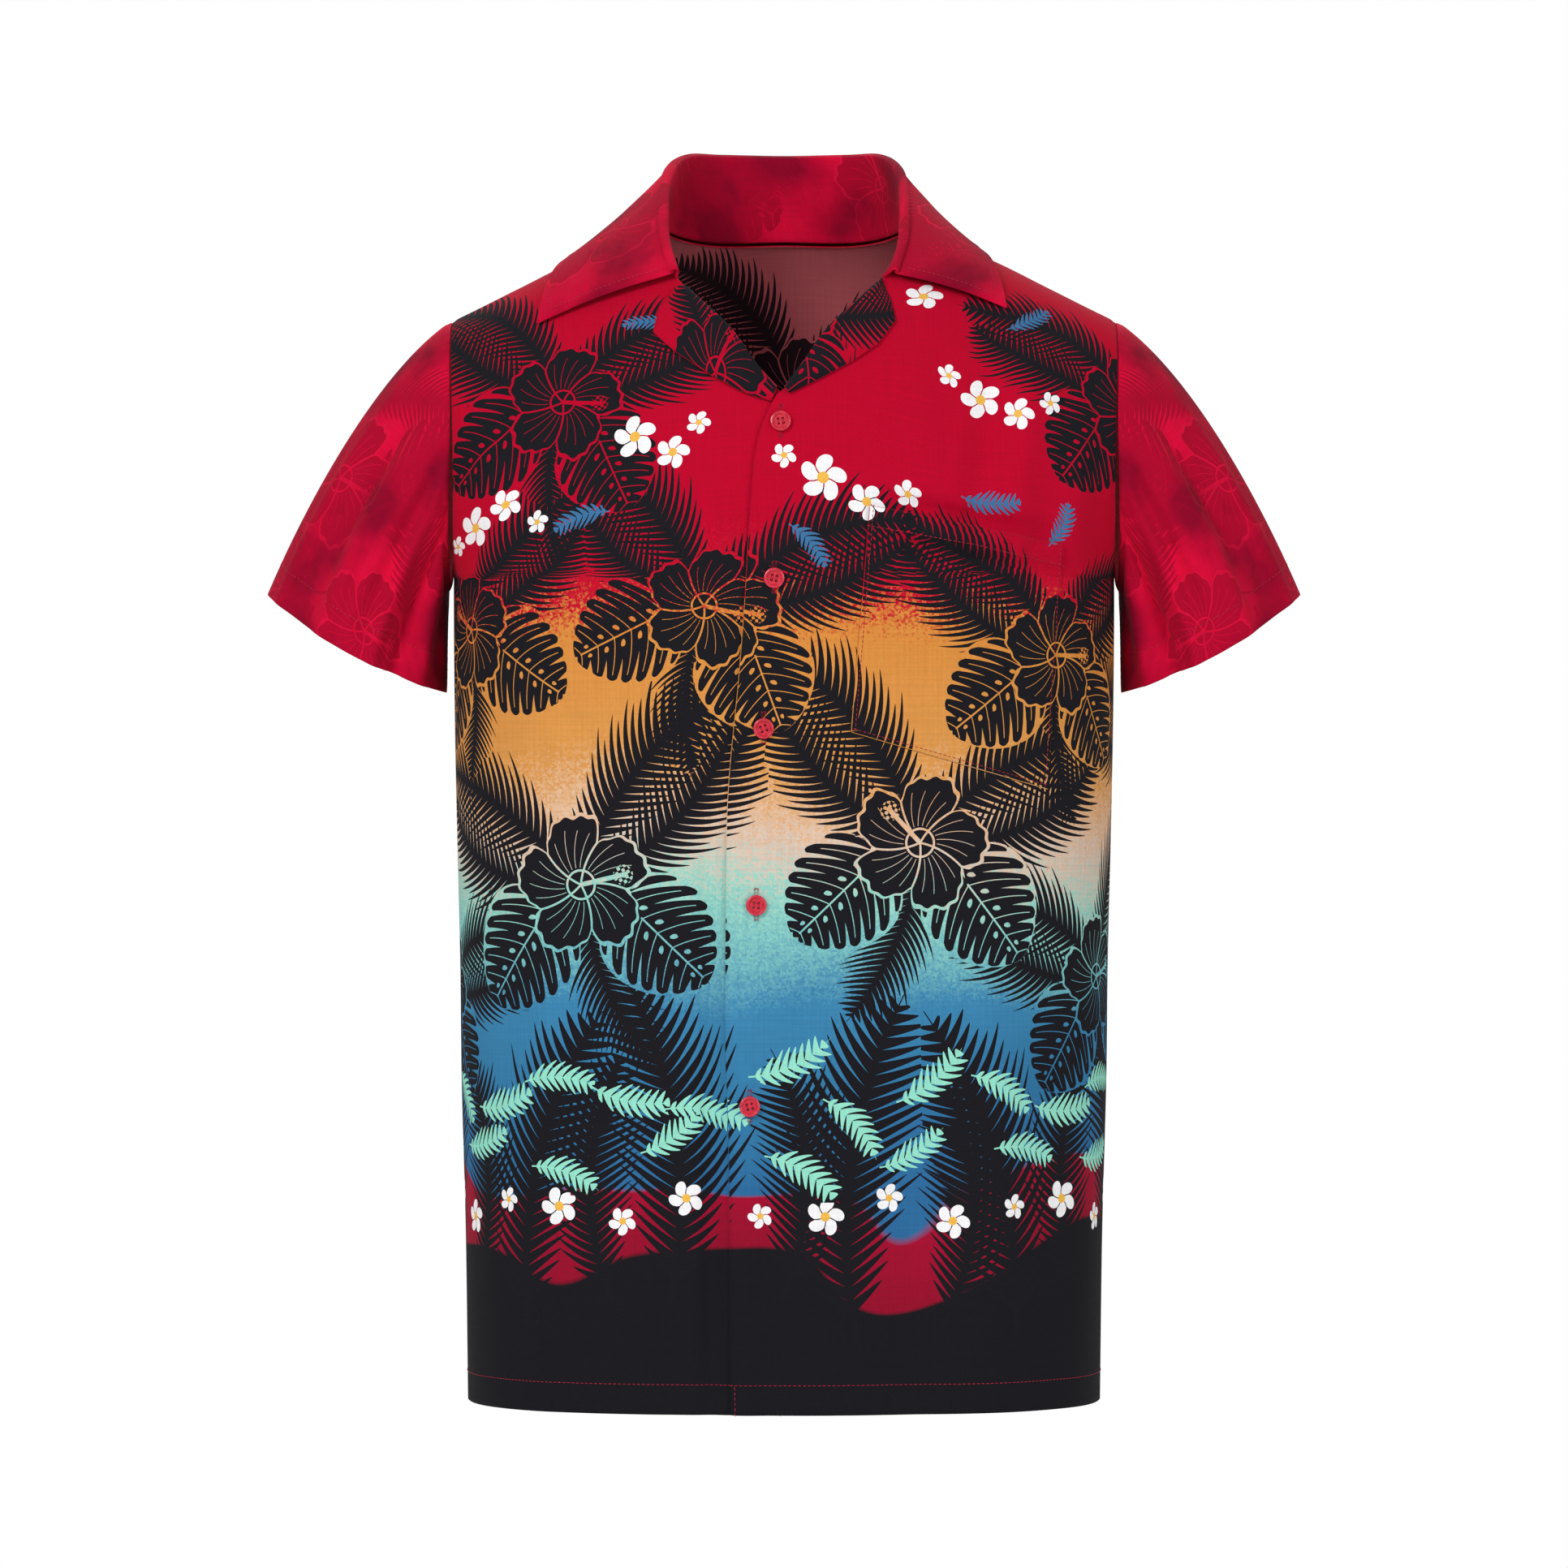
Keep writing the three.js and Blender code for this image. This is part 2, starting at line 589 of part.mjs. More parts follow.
function sleevePoint(side, angle, down) {
  const turn = THREE.MathUtils.degToRad(angle);
  const top = (1 + Math.cos(turn)) / 2;
  const face = Math.sin(turn) >= 0 ? FRONT : BACK;
  const seamZ = armholeZ(top);
  const turnedDown = Math.min(2 * (1 - top), 1);
  const seamX = sectionAt(seamZ, 'half') + CLOTH / 2 + SEAM_GAP + (CLOTH / 2) * turnedDown;
  const start = new THREE.Vector3(seamX, -face.armhole * Math.sin(turn), seamZ);
  const end = new THREE.Vector3(
    SLEEVE_HEM.x + SLEEVE_HEM.halfMajor * SLEEVE_HEM.tiltX * Math.cos(turn),
    -SLEEVE_HEM.halfDepth * Math.sin(turn),
    SLEEVE_HEM.z + SLEEVE_HEM.halfMajor * SLEEVE_HEM.tiltZ * Math.cos(turn)
      - SLEEVE_HEM.dip * Math.sin(turn) ** 2,
  );
  const mix = (under, cap) => under + (cap - under) * top;
  const leavingX = mix(SLEEVE_UNDER.outX, SLEEVE_CAP.outX);
  const leavingZ = mix(SLEEVE_UNDER.outZ, SLEEVE_CAP.outZ);
  const leaving = new THREE.Vector3(leavingX, 0, leavingZ);
  const arriving = new THREE.Vector3(mix(SLEEVE_FALL.underX, SLEEVE_FALL.capX), 0, SLEEVE_FALL.z);
  const first = start.clone().addScaledVector(leaving, mix(SLEEVE_UNDER.reach, SLEEVE_CAP.reach));
  const second = end.clone().addScaledVector(arriving, -mix(SLEEVE_FALL.underReach, SLEEVE_FALL.capReach));
  const curve = new THREE.CubicBezierCurve3(start, first, second, end);
  const point = curve.getPoint(down);
  const armholeMiddle = new THREE.Vector3(seamX, 0, armholeZ(0.5));
  const centre = armholeMiddle.lerp(new THREE.Vector3(SLEEVE_HEM.x, 0, SLEEVE_HEM.z), down);
  const outward = point.clone().sub(centre).normalize();
  point.addScaledVector(outward, sleeveFold(angle, down));
  const fromSeam = Math.min(down / SLEEVE_CLEARANCE.within, 1);
  const clearX = sectionAt(point.z, 'half') + CLOTH / 2 + SEAM_GAP + SLEEVE_CLEARANCE.gap * fromSeam;
  point.x = side * Math.max(point.x, clearX);
  return point;
}

function makeSleeve(side) {
  const around = UPPER_CELLS * 2;
  const grid = Array.from({ length: SLEEVE_CELLS + 1 }, (_, row) => {
    const down = row / SLEEVE_CELLS;
    return Array.from({ length: around }, (__, column) => sleevePoint(side, (360 * column) / around, down));
  });
  return clothWall(grid, CLOTH, { round: true });
}

addPiece('left_sleeve', makeSleeve(1), RED_RAYON);
addPiece('right_sleeve', makeSleeve(-1), RED_RAYON);

// Pocket: a patch on the left front, stitched down on three sides, its mouth standing a little open

function makePocket() {
  const grid = Array.from({ length: POCKET_CELLS.down + 1 }, (_, row) => {
    const down = row / POCKET_CELLS.down;
    return Array.from({ length: POCKET_CELLS.across + 1 }, (__, column) => {
      const across = column / POCKET_CELLS.across;
      const mix = (axis) => {
        const top = POCKET.topInner[axis] + (POCKET.topOuter[axis] - POCKET.topInner[axis]) * across;
        const { [axis]: inner } = POCKET.bottomInner;
        const { [axis]: outer } = POCKET.bottomOuter;
        const bottom = inner + (outer - inner) * across;
        return top + (bottom - top) * down;
      };
      const gape = POCKET.mouthGape * Math.sin(Math.PI * across) * (1 - down) ** POCKET.gapeFade;
      return bodyPoint(FRONT, mix('x'), mix('z'), CLOTH + POCKET.seatGap + gape);
    });
  });
  return clothWall(grid, CLOTH);
}

addPiece('pocket', makePocket(), PRINTED_RAYON);

// Buttons: turned discs with a raised rim and four holes, on the outside of the lap

function makeButton() {
  const half = BUTTON.thickness / 2;
  const inRim = BUTTON.radius - BUTTON.rim;
  const profile = [
    new THREE.Vector2(0, -half),
    new THREE.Vector2(BUTTON.radius - BUTTON.edgeRound, -half),
    new THREE.Vector2(BUTTON.radius, -half + BUTTON.edgeRound),
    new THREE.Vector2(BUTTON.radius, half - BUTTON.edgeRound),
    new THREE.Vector2(BUTTON.radius - BUTTON.edgeRound, half),
    new THREE.Vector2(inRim, half),
    new THREE.Vector2(inRim - BUTTON.dish, half - BUTTON.dish),
    new THREE.Vector2(0, half - BUTTON.dish),
  ];
  let body = toManifold(new THREE.LatheGeometry(profile, BUTTON.sides));
  for (const [right, up] of [[1, 1], [1, -1], [-1, 1], [-1, -1]]) {
    const { radius, sides } = BUTTON_HOLE;
    const hole = new THREE.CylinderGeometry(radius, radius, BUTTON.thickness * 2, sides);
    hole.translate(right * BUTTON_HOLE.offset, 0, up * BUTTON_HOLE.offset);
    body = body.subtract(toManifold(hole));
  }
  return fromManifold(body);
}

function toManifold(geometry) {
  geometry.deleteAttribute('normal');
  geometry.deleteAttribute('uv');
  const merged = mergeVertices(geometry, 1e-4);
  const mesh = new manifoldLibrary.Mesh({
    numProp: 3,
    vertProperties: new Float32Array(merged.getAttribute('position').array),
    triVerts: new Uint32Array(merged.getIndex().array),
  });
  return new manifoldLibrary.Manifold(mesh);
}

function fromManifold(body) {
  const mesh = body.getMesh();
  const geometry = new THREE.BufferGeometry();
  geometry.setAttribute('position', new THREE.BufferAttribute(new Float32Array(mesh.vertProperties), 3));
  geometry.setIndex(new THREE.BufferAttribute(new Uint32Array(mesh.triVerts), 1));
  geometry.computeVertexNormals();
  return geometry;
}

const seatLift = CLOTH / 2 + BUTTON_SEAT + BUTTON.thickness / 2;
BUTTONS.forEach(({ x, z }, index) => {
  const reach = BUTTON.radius;
  const onLap = (atX, atZ) => bodyPoint(FRONT, atX, atZ, lapLift(1, atX));
  const across = onLap(x + reach, z).sub(onLap(x - reach, z));
  const upward = onLap(x, z + reach).sub(onLap(x, z - reach));
  const outward = across.cross(upward).normalize();
  const button = addPiece(`button_${index + 1}`, makeButton(), RED_PLASTIC);
  button.position.copy(onLap(x, z)).addScaledVector(outward, seatLift);
  button.quaternion.setFromUnitVectors(new THREE.Vector3(0, 1, 0), outward);
});

export default shirt;
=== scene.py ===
# A short-sleeved camp-collar shirt in printed rayon, filled out as if worn, with nobody in it.
# Blender works in metres. The cloth is cut in millimetres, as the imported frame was.
# Front towards -Y, wearer's left towards +X, origin in the middle of the neck.

import math

import bmesh
import bpy
import numpy as np
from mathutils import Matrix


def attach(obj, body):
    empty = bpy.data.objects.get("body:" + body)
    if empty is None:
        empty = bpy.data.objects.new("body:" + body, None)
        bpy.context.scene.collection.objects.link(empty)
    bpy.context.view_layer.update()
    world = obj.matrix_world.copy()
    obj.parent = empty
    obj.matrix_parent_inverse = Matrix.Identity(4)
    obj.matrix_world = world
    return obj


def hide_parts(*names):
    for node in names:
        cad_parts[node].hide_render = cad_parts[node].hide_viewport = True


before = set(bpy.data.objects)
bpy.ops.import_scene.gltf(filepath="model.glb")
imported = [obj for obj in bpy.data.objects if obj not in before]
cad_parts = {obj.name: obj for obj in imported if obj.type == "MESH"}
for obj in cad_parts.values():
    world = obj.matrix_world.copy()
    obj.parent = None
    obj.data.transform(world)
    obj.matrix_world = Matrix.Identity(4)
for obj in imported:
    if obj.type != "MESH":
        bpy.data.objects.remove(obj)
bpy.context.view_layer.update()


# Camera, floor and light: a level camera straight in front, a pale floor below the hem, a white
# cyclorama that only the camera sees, and an even fill with three large soft boxes, two of them in
# front and one high behind.

CAMERA = {"distance": 4.5, "height": -0.342, "lens": 163.26, "sensor": 36}
FLOOR = {"height": -0.9, "half_width": 1.6, "front": -1.6, "back": 0.45, "colour": "#F4F3F1",
         "roughness": 0.85}
CYCLORAMA = {"radius": 9.0, "rings": 24, "segments": 48, "strength": 1.0}
FILL_STRENGTH = 0.44
SOFT_BOXES = [
    {"place": (-1.9, -3.1, 1.5), "size": 1.5, "power": 84},
    {"place": (2.4, -2.9, 0.4), "size": 2.0, "power": 40},
    {"place": (0.0, 2.4, 2.2), "size": 2.2, "power": 44},
]


def add_node(tree, kind, inputs=None, **settings):
    """Add one node with its settings, its values and its links."""
    node = tree.nodes.new(kind)
    for name, value in settings.items():
        setattr(node, name, value)
    for place, value in (inputs or {}).items():
        if isinstance(value, bpy.types.NodeSocket):
            tree.links.new(value, node.inputs[place])
        else:
            node.inputs[place].default_value = value
    return node


def linear(colour):
    """Linear colour of an sRGB hex value."""
    parts = [int(colour[start:start + 2], 16) / 255 for start in (1, 3, 5)]
    return (*[part / 12.92 if part <= 0.04045 else ((part + 0.055) / 1.055) ** 2.4 for part in parts], 1)


def show(name, mesh):
    """Put a mesh in the scene under a name."""
    thing = bpy.data.objects.new(name, mesh)
    bpy.context.scene.collection.objects.link(thing)
    return thing


def new_material(name):
    """A material that uses nodes, with its node tree and its shader."""
    material = bpy.data.materials.new(name)
    material.use_nodes = True
    return material, material.node_tree, material.node_tree.nodes["Principled BSDF"]


def set_inputs(node, values):
    """Set inputs of a node by name."""
    for name, value in values.items():
        node.inputs[name].default_value = value


def set_stops(ramp, stops):
    """Give a colour ramp its stops, each a share of the way along and a colour."""
    elements = ramp.color_ramp.elements
    for number, (share, colour) in enumerate(stops):
        stop = elements[number] if number < 2 else elements.new(share)
        stop.position = share
        stop.color = linear(colour)


bpy.context.scene.view_settings.view_transform = "Standard"

camera_data = bpy.data.cameras.new("camera")
camera_data.sensor_width = CAMERA["sensor"]
camera_data.lens = CAMERA["lens"]
camera = show("camera", camera_data)
camera.location = (0, -CAMERA["distance"], CAMERA["height"])
camera.rotation_euler = (math.pi / 2, 0, 0)
bpy.context.scene.camera = camera

half, near, far = FLOOR["half_width"], FLOOR["front"], FLOOR["back"]
floor_corners = [(-half, near), (half, near), (half, far), (-half, far)]
floor_mesh = bpy.data.meshes.new("floor")
floor_mesh.from_pydata([(x, y, FLOOR["height"]) for x, y in floor_corners], [], [(0, 1, 2, 3)])
painted_floor, _, floor_shader = new_material("matt_painted_floor")
set_inputs(floor_shader, {"Base Color": linear(FLOOR["colour"]), "Roughness": FLOOR["roughness"]})
floor_mesh.materials.append(painted_floor)
floor = show("floor", floor_mesh)

dome_builder = bmesh.new()
bmesh.ops.create_uvsphere(
    dome_builder, u_segments=CYCLORAMA["segments"], v_segments=CYCLORAMA["rings"],
    radius=CYCLORAMA["radius"])
dome_mesh = bpy.data.meshes.new("cyclorama")
dome_builder.to_mesh(dome_mesh)
dome_builder.free()
lit_paper, paper_tree, _ = new_material("lit_white_paper")
paper_tree.nodes.clear()
glow = add_node(paper_tree, "ShaderNodeEmission", {"Strength": CYCLORAMA["strength"]})
add_node(paper_tree, "ShaderNodeOutputMaterial", {"Surface": glow.outputs[0]})
dome_mesh.materials.append(lit_paper)
dome = show("cyclorama", dome_mesh)
for rays in ("diffuse", "glossy", "transmission", "shadow"):
    setattr(dome, f"visible_{rays}", False)

world = bpy.data.worlds.new("even_fill")
world.use_nodes = True
set_inputs(world.node_tree.nodes["Background"], {"Strength": FILL_STRENGTH, "Color": linear("#FFFFFF")})
bpy.context.scene.world = world

for number, box in enumerate(SOFT_BOXES):
    light_data = bpy.data.lights.new(f"soft_box_{number}", "AREA")
    light_data.energy = box["power"]
    light_data.size = box["size"]
    light = show(f"soft_box_{number}", light_data)
    light.location = box["place"]
    aim = np.array((0, 0, CAMERA["height"])) - np.array(box["place"])
    light.rotation_euler = (math.atan2(math.hypot(aim[0], aim[1]), -aim[2]), 0, math.atan2(-aim[0], aim[1]))


# Back: one panel of printed rayon from side seam to side seam, cut with its border print along
# the hem. It is sewn to the fronts at the sides and shoulders, and hollows to the neck on top.

MM = 0.001
CLOTH = 1.1
SEAM_GAP = 0.3
HEM_Z = -729
ARMPIT_Z = -215
SHOULDER_Z = -50
SECTION_POWER = 2.6
ROUNDING_POWER = 2.6
NECK = {"half_width": 76, "back_depth": 78}
FOLD = {"spread": 1.6, "ends": 0.8, "crease_ends": 0.7, "edge_depth": 60}
SEAM_TUCK = {"depth": 0.9, "reach": 2.6}
# The axis of the grid that leads away from each seam, and whether the seam is at that axis's far end
SEAMS = {"left": (1, False), "side": (1, True), "bottom": (0, False), "top": (0, True)}
NEAR_TOP = 0.999
SEARCH_STEPS = 30
FINE_SHARES = 400
TINY_LENGTH = 1e-9
RIM_SHARE = 0.4
REVERSED = [0, 3, 2, 1]
ROWS = {"lower": 158, "upper": 84}
BACK_COLUMNS = 168
BACK_PRINT_SHIFT = 140


def named_columns(names, rows):
    """A table as one row of numbers for each named column."""
    return dict(zip(names.split(), np.array(rows, float).T))


SECTIONS = named_columns("z half front back", [
    (-729, 199, 138, 132),
    (-620, 200.5, 136, 128),
    (-530, 203, 134, 123),
    (-450, 204, 132, 120),
    (-370, 206, 131, 122),
    (-290, 207.5, 131, 127),
    (-215, 208, 130, 130),
    (-130, 207, 128, 130),
    (-50, 209.5, 124, 125),
    (30, 209.5, 120, 122),
])
SHOULDER_LINE = named_columns("x z", [
    (-76, 8),
    (0, 32),
    (76, 8),
    (128, -10),
    (167, -29),
    (192, -41.5),
    (209.5, -50),
])
# Large soft folds, as in the frame: depth is inwards where negative, lean shifts the foot sideways
FRONT_FOLDS = named_columns("x top bottom width depth lean", [
    (118, -45, -168, 44, -5, 14),
    (158, -60, -185, 40, 5, 6),
    (-128, -60, -210, 46, -4, -12),
    (-92, -420, -760, 62, -5, -18),
    (-150, -330, -760, 56, 5, -10),
    (74, -520, -770, 56, -5, 10),
    (128, -370, -770, 58, 5, 16),
])
BACK_FOLDS = named_columns("x top bottom width depth lean", [
    (-96, -110, -420, 60, -6, 12),
    (88, -150, -500, 58, -5, -10),
    (-30, -330, -770, 66, 6, -14),
    (56, -400, -770, 60, -6, 16),
    (140, -300, -770, 56, 5, 8),
    (-146, -380, -770, 56, -5, -8),
])
# Creases of the pressed and worn cloth, each from one point of the face to another
FRONT_CREASES = named_columns("x z to_x to_z width depth bow", [
    (186, -96, 178, -205, 13, 3.4, 3),
    (172, -100, 160, -232, 15, -2.8, -4),
    (147, -78, 141, -178, 13, 2.7, 3),
    (129, -84, 119, -196, 16, -2.7, -3),
    (196, -170, 196, -330, 14, -3.1, 3),
    (188, -205, 150, -292, 15, 2.5, -5),
    (192, -232, 120, -330, 18, -2.0, -8),
    (92, -60, 98, -150, 18, -2.0, 4),
    (-186, -92, -180, -190, 14, 3.1, -3),
    (-170, -112, -162, -232, 15, -2.8, 4),
    (-148, -70, -142, -160, 16, 2.1, -3),
    (-196, -175, -197, -322, 14, -3.1, -3),
    (-190, -210, -140, -300, 16, 2.4, 6),
    (-188, -240, -112, -345, 18, -2.0, 9),
    (-96, -72, -102, -170, 20, -1.8, -4),
    (-60, -470, -52, -745, 30, -2.5, 3),
    (-118, -560, -112, -745, 24, 2.2, -2),
    (-168, -430, -170, -745, 28, -2.8, 3),
    (20, -560, 14, -745, 26, 2.1, 2),
    (96, -600, 102, -745, 24, 2.2, 3),
    (160, -450, 164, -745, 28, -2.9, -3),
    (186, -520, 183, -745, 20, 2.4, 2),
    (50, -380, 40, -520, 30, -1.5, 5),
    (-44, -260, -56, -430, 30, -1.7, -6),
    (-72, -600, -70, -745, 20, -2.2, 2),
    (-47, -330, -45, -775, 12, -4.8, 2),
    (-22, -470, -23, -775, 12, 2.2, 1),
    (50, -163, 172, -187, 9, -4.8, -2),
    (50, -178, 170, -202, 10, 3.6, -2),
    (54, -193, 160, -216, 9, -4.2, 3),
    (96, -200, 138, -240, 8, 2.5, 3),
    (92, -214, 118, -252, 12, 2.1, 3),
    (128, -222, 146, -262, 11, -2.1, -3),
])
BACK_CREASES = named_columns("x z to_x to_z width depth bow", [
    (-182, -100, -150, -250, 18, -3.1, -6),
    (180, -96, 152, -240, 18, -2.9, 5),
    (-120, -60, -96, -150, 20, 2.2, 4),
    (124, -64, 104, -170, 22, 2.2, -4),
    (-192, -190, -130, -330, 20, 2.7, 9),
    (190, -200, 120, -346, 20, 2.5, -8),
    (-60, -240, -52, -430, 30, -2.2, 5),
    (40, -210, 44, -400, 28, 2.2, -5),
    (0, -90, 4, -210, 34, -1.7, 3),
    (-100, -470, -108, -745, 28, 2.8, -4),
    (100, -500, 108, -745, 28, -2.8, 4),
    (16, -520, 12, -745, 26, 2.5, 3),
    (-172, -470, -174, -745, 24, -2.8, 2),
    (176, -490, 178, -745, 22, 2.7, -2),
    (-14, -610, -20, -745, 18, -2.1, 1),
    (70, -600, 78, -745, 20, 2.2, 2),
])
FRONT = {"sign": -1, "rounding": 230, "column": "front", "armhole": 66,
         "folds": FRONT_FOLDS, "creases": FRONT_CREASES}
BACK = {"sign": 1, "rounding": 150, "column": "back", "armhole": 68,
        "folds": BACK_FOLDS, "creases": BACK_CREASES}


def read_table(table, place_column, column, place):
    """Smooth value of one column of a table at places given in another column."""
    places, values = table[place_column], table[column]
    if places[0] > places[-1]:
        places, values = places[::-1], values[::-1]
    last = len(places) - 1
    before = np.maximum(np.arange(last + 1) - 1, 0)
    after = np.minimum(np.arange(last + 1) + 1, last)
    slopes = (values[after] - values[before]) / (places[after] - places[before])
    place = np.clip(place, places[0], places[-1])
    start = np.clip(np.searchsorted(places, place, side="right") - 1, 0, last - 1)
    span = places[start + 1] - places[start]
    t = (place - places[start]) / span
    ends = (1 + 2 * t) * (1 - t) ** 2 * values[start] + t * t * (3 - 2 * t) * values[start + 1]
    return ends + span * (t * (1 - t) ** 2 * slopes[start] - t * t * (1 - t) * slopes[start + 1])


def bump(distance, width):
    """A rounded bump across a distance: one in the middle, nothing from the half width on."""
    return 0.5 + 0.5 * np.cos(np.pi * np.minimum(np.abs(distance) / (width / 2), 1))


def table_rows(table):
    """Each row of a table with named columns, in turn."""
    for values in zip(*table.values()):
        yield dict(zip(table, values))


def folds_at(folds, x, z):
    """Height of the large folds at places on a face."""
    total = np.zeros(np.broadcast(x, z).shape)
    for fold in table_rows(folds):
        down = np.clip((fold["top"] - z) / (fold["top"] - fold["bottom"]), 0, 1)
        middle = fold["x"] + fold["lean"] * down
        ends = np.sin(np.pi * down) ** FOLD["ends"]
        total = total + fold["depth"] * bump(x - middle, fold["width"] * FOLD["spread"]) * ends
    return total


def creases_at(creases, x, z):
    """Height of the creases at places on a face, each a soft ridge or trough along a bowed line."""
    total = np.zeros(np.broadcast(x, z).shape)
    for crease in table_rows(creases):
        run_x, run_z = crease["to_x"] - crease["x"], crease["to_z"] - crease["z"]
        length = math.hypot(run_x, run_z)
        from_x, from_z = x - crease["x"], z - crease["z"]
        along = np.clip((from_x * run_x + from_z * run_z) / length ** 2, 0, 1)
        swell = np.sin(np.pi * along)
        aside = (from_z * run_x - from_x * run_z) / length - crease["bow"] * swell
        ends = swell ** FOLD["crease_ends"]
        total = total + crease["depth"] * bump(aside, 2 * crease["width"]) * ends
    return total


def ridge_z(x):
    """Height of the shoulder ridge."""
    return read_table(SHOULDER_LINE, "x", "z", np.abs(x))


def section_at(z, column):
    """Half width, or how far the front or back stands out, at a height."""
    return read_table(SECTIONS, "z", column, z)


def rounded_share(drop, rounding):
    """Share of the full depth that the face reaches at a drop below the ridge."""
    share = np.clip(drop / rounding, 0, 1)
    return np.sqrt(1 - (1 - share) ** ROUNDING_POWER)


def armhole_z(share):
    """Height at a share of the way from the armpit up to the shoulder point."""
    return ARMPIT_Z + (SHOULDER_Z - ARMPIT_Z) * share


def full_half_width(face, share):
    """Half width at which the section would close if it had no armhole."""
    z = armhole_z(share)
    armhole = face["armhole"] * 2 * np.sqrt(np.maximum(share * (1 - share), 0))
    reach = section_at(z, face["column"]) * rounded_share(SHOULDER_Z - z, face["rounding"])
    steepness = math.sqrt(face["rounding"] / (ROUNDING_POWER * (SHOULDER_Z - ARMPIT_Z)))
    ratio_at_top = 2 * face["armhole"] / section_at(z, face["column"]) * steepness
    at_top = share > NEAR_TOP
    ratio = np.where(at_top, ratio_at_top, armhole / np.where(at_top, 1, reach))
    return section_at(z, "half") / (1 - ratio ** SECTION_POWER) ** (1 / SECTION_POWER)


def depth_at(face, x, z):
    """How far the face stands out from the side plane."""
    ridge = ridge_z(x)
    below = z <= ARMPIT_Z
    share = np.clip((z - ARMPIT_Z) / (ridge - ARMPIT_Z), 0, 1)
    half = np.where(below, section_at(z, "half"), full_half_width(face, share))
    side = np.minimum(np.abs(x) / half, 1)
    section = section_at(z, face["column"]) * (1 - side ** SECTION_POWER) ** (1 / SECTION_POWER)
    return section * np.where(below, 1, rounded_share(ridge - z, face["rounding"]))


def body_point(face, x, z, lift=0):
    """Points on a face, moved out by lift, with its folds faded away towards seams and ridge."""
    x, z = np.broadcast_arrays(np.asarray(x, float), np.asarray(z, float))
    depth = depth_at(face, x, z)
    fade = np.minimum(depth / FOLD["edge_depth"], 1)
    folds = folds_at(face["folds"], x, z) + creases_at(face["creases"], x, z)
    y = face["sign"] * (depth + SEAM_GAP / 2 + lift + fade * folds)
    return np.stack([x, y, z], -1)


def height_for_depth(face, x, depth):
    """Height above the armpit at which a face stands out by a given depth."""
    low = np.full(np.shape(x), float(ARMPIT_Z))
    high = ridge_z(x) * np.ones(np.shape(x))
    for _ in range(SEARCH_STEPS):
        middle = (low + high) / 2
        deep = depth_at(face, x, middle) > depth
        low = np.where(deep, middle, low)
        high = np.where(deep, high, middle)
    return (low + high) / 2


def even_columns(line, cells):
    """A row of points spaced anew, evenly along its own length."""
    run = run_along(line[None], 1)[0]
    wanted = np.linspace(0, run[-1], cells + 1)
    return np.stack([np.interp(wanted, run, line[:, axis]) for axis in range(3)], 1)


def unit(vectors):
    """Vectors of unit length."""
    return vectors / np.maximum(np.linalg.norm(vectors, axis=-1, keepdims=True), TINY_LENGTH)


def cloth_normals(grid, closed=False):
    """Unit normals of a grid of points, out of the face that the rows and columns show."""
    if closed:
        across = np.roll(grid, -1, 1) - np.roll(grid, 1, 1)
    else:
        across = np.gradient(grid, axis=1)
    return unit(np.cross(across, np.gradient(grid, axis=0)))


def run_along(grid, axis):
    """How far each point of a grid is along the cloth from its first row or column."""
    steps = np.linalg.norm(np.diff(grid, axis=axis), axis=2)
    return np.cumsum(np.insert(steps, 0, 0, axis), axis)


def pattern_of(grid, start, side=1):
    """Where each point of a panel lies on its cloth, in millimetres, measured along the cloth."""
    return np.stack([start[:, None] + side * run_along(grid, 1), HEM_Z + run_along(grid, 0)], -1)


def seam_tucks(grid, edges):
    """How far each point is drawn in beside the seams named in edges, as sewn cloth is."""
    tuck = np.zeros(grid.shape[:2])
    for axis, far in [SEAMS[edge] for edge in edges]:
        away = np.flip(run_along(np.flip(grid, axis), axis), axis) if far else run_along(grid, axis)
        tuck = np.maximum(tuck, SEAM_TUCK["depth"] * np.exp(-(away / SEAM_TUCK["reach"]) ** 2))
    return tuck[..., None]


# Print motifs, each with the number that its coordinates carry to the cloth's material
MOTIFS = {"fern": 1, "split_leaf": 2, "bloom": 3, "small_flower": 4, "sprig": 5}
MOTIF_SPAN = 4
SCREENS = {
    "PrintLow": ("fern",),
    "PrintUnder": ("fern",),
    "PrintMiddle": ("split_leaf",),
    "PrintOver": ("bloom", "small_flower", "sprig"),
}
PRINT_LAYERS = list(SCREENS)
REPEAT = 640
PRINT_MARGIN = 2.6
GROWING = ("fern", "sprig")
TOP_SCREEN = 3
FROND = {"lean": 0.55, "curve": 1.5, "rise_power": 0.55, "fall_power": 0.7, "widest": 0.6,
         "from": -0.05, "to": 1.03}
LEAF = {"back": 0.8, "length": 1.8, "rise_power": 0.42, "fall_power": 0.62, "widest": 1.72,
        "from": -1.1, "to": 1}
FLOWER_REACH = 1.02
OUTSIDE = 2


def motif_coordinates(pattern, motif, u, v, size, turn, bend):
    """A motif's own coordinates at each point of the cloth: along and across, in its own size."""
    angle = math.radians(turn)
    across, up = pattern[..., 0] - u, pattern[..., 1] - v
    along = across * math.cos(angle) + up * math.sin(angle)
    aside = up * math.cos(angle) - across * math.sin(angle)
    if motif not in GROWING:
        return -aside / size, along / size
    radius = size / math.radians(bend)
    reach = abs(radius)
    hand = math.copysign(1, radius)
    out = reach - hand * aside
    return reach * np.arctan2(along, out) / size, hand * (reach - np.hypot(along, out)) / size


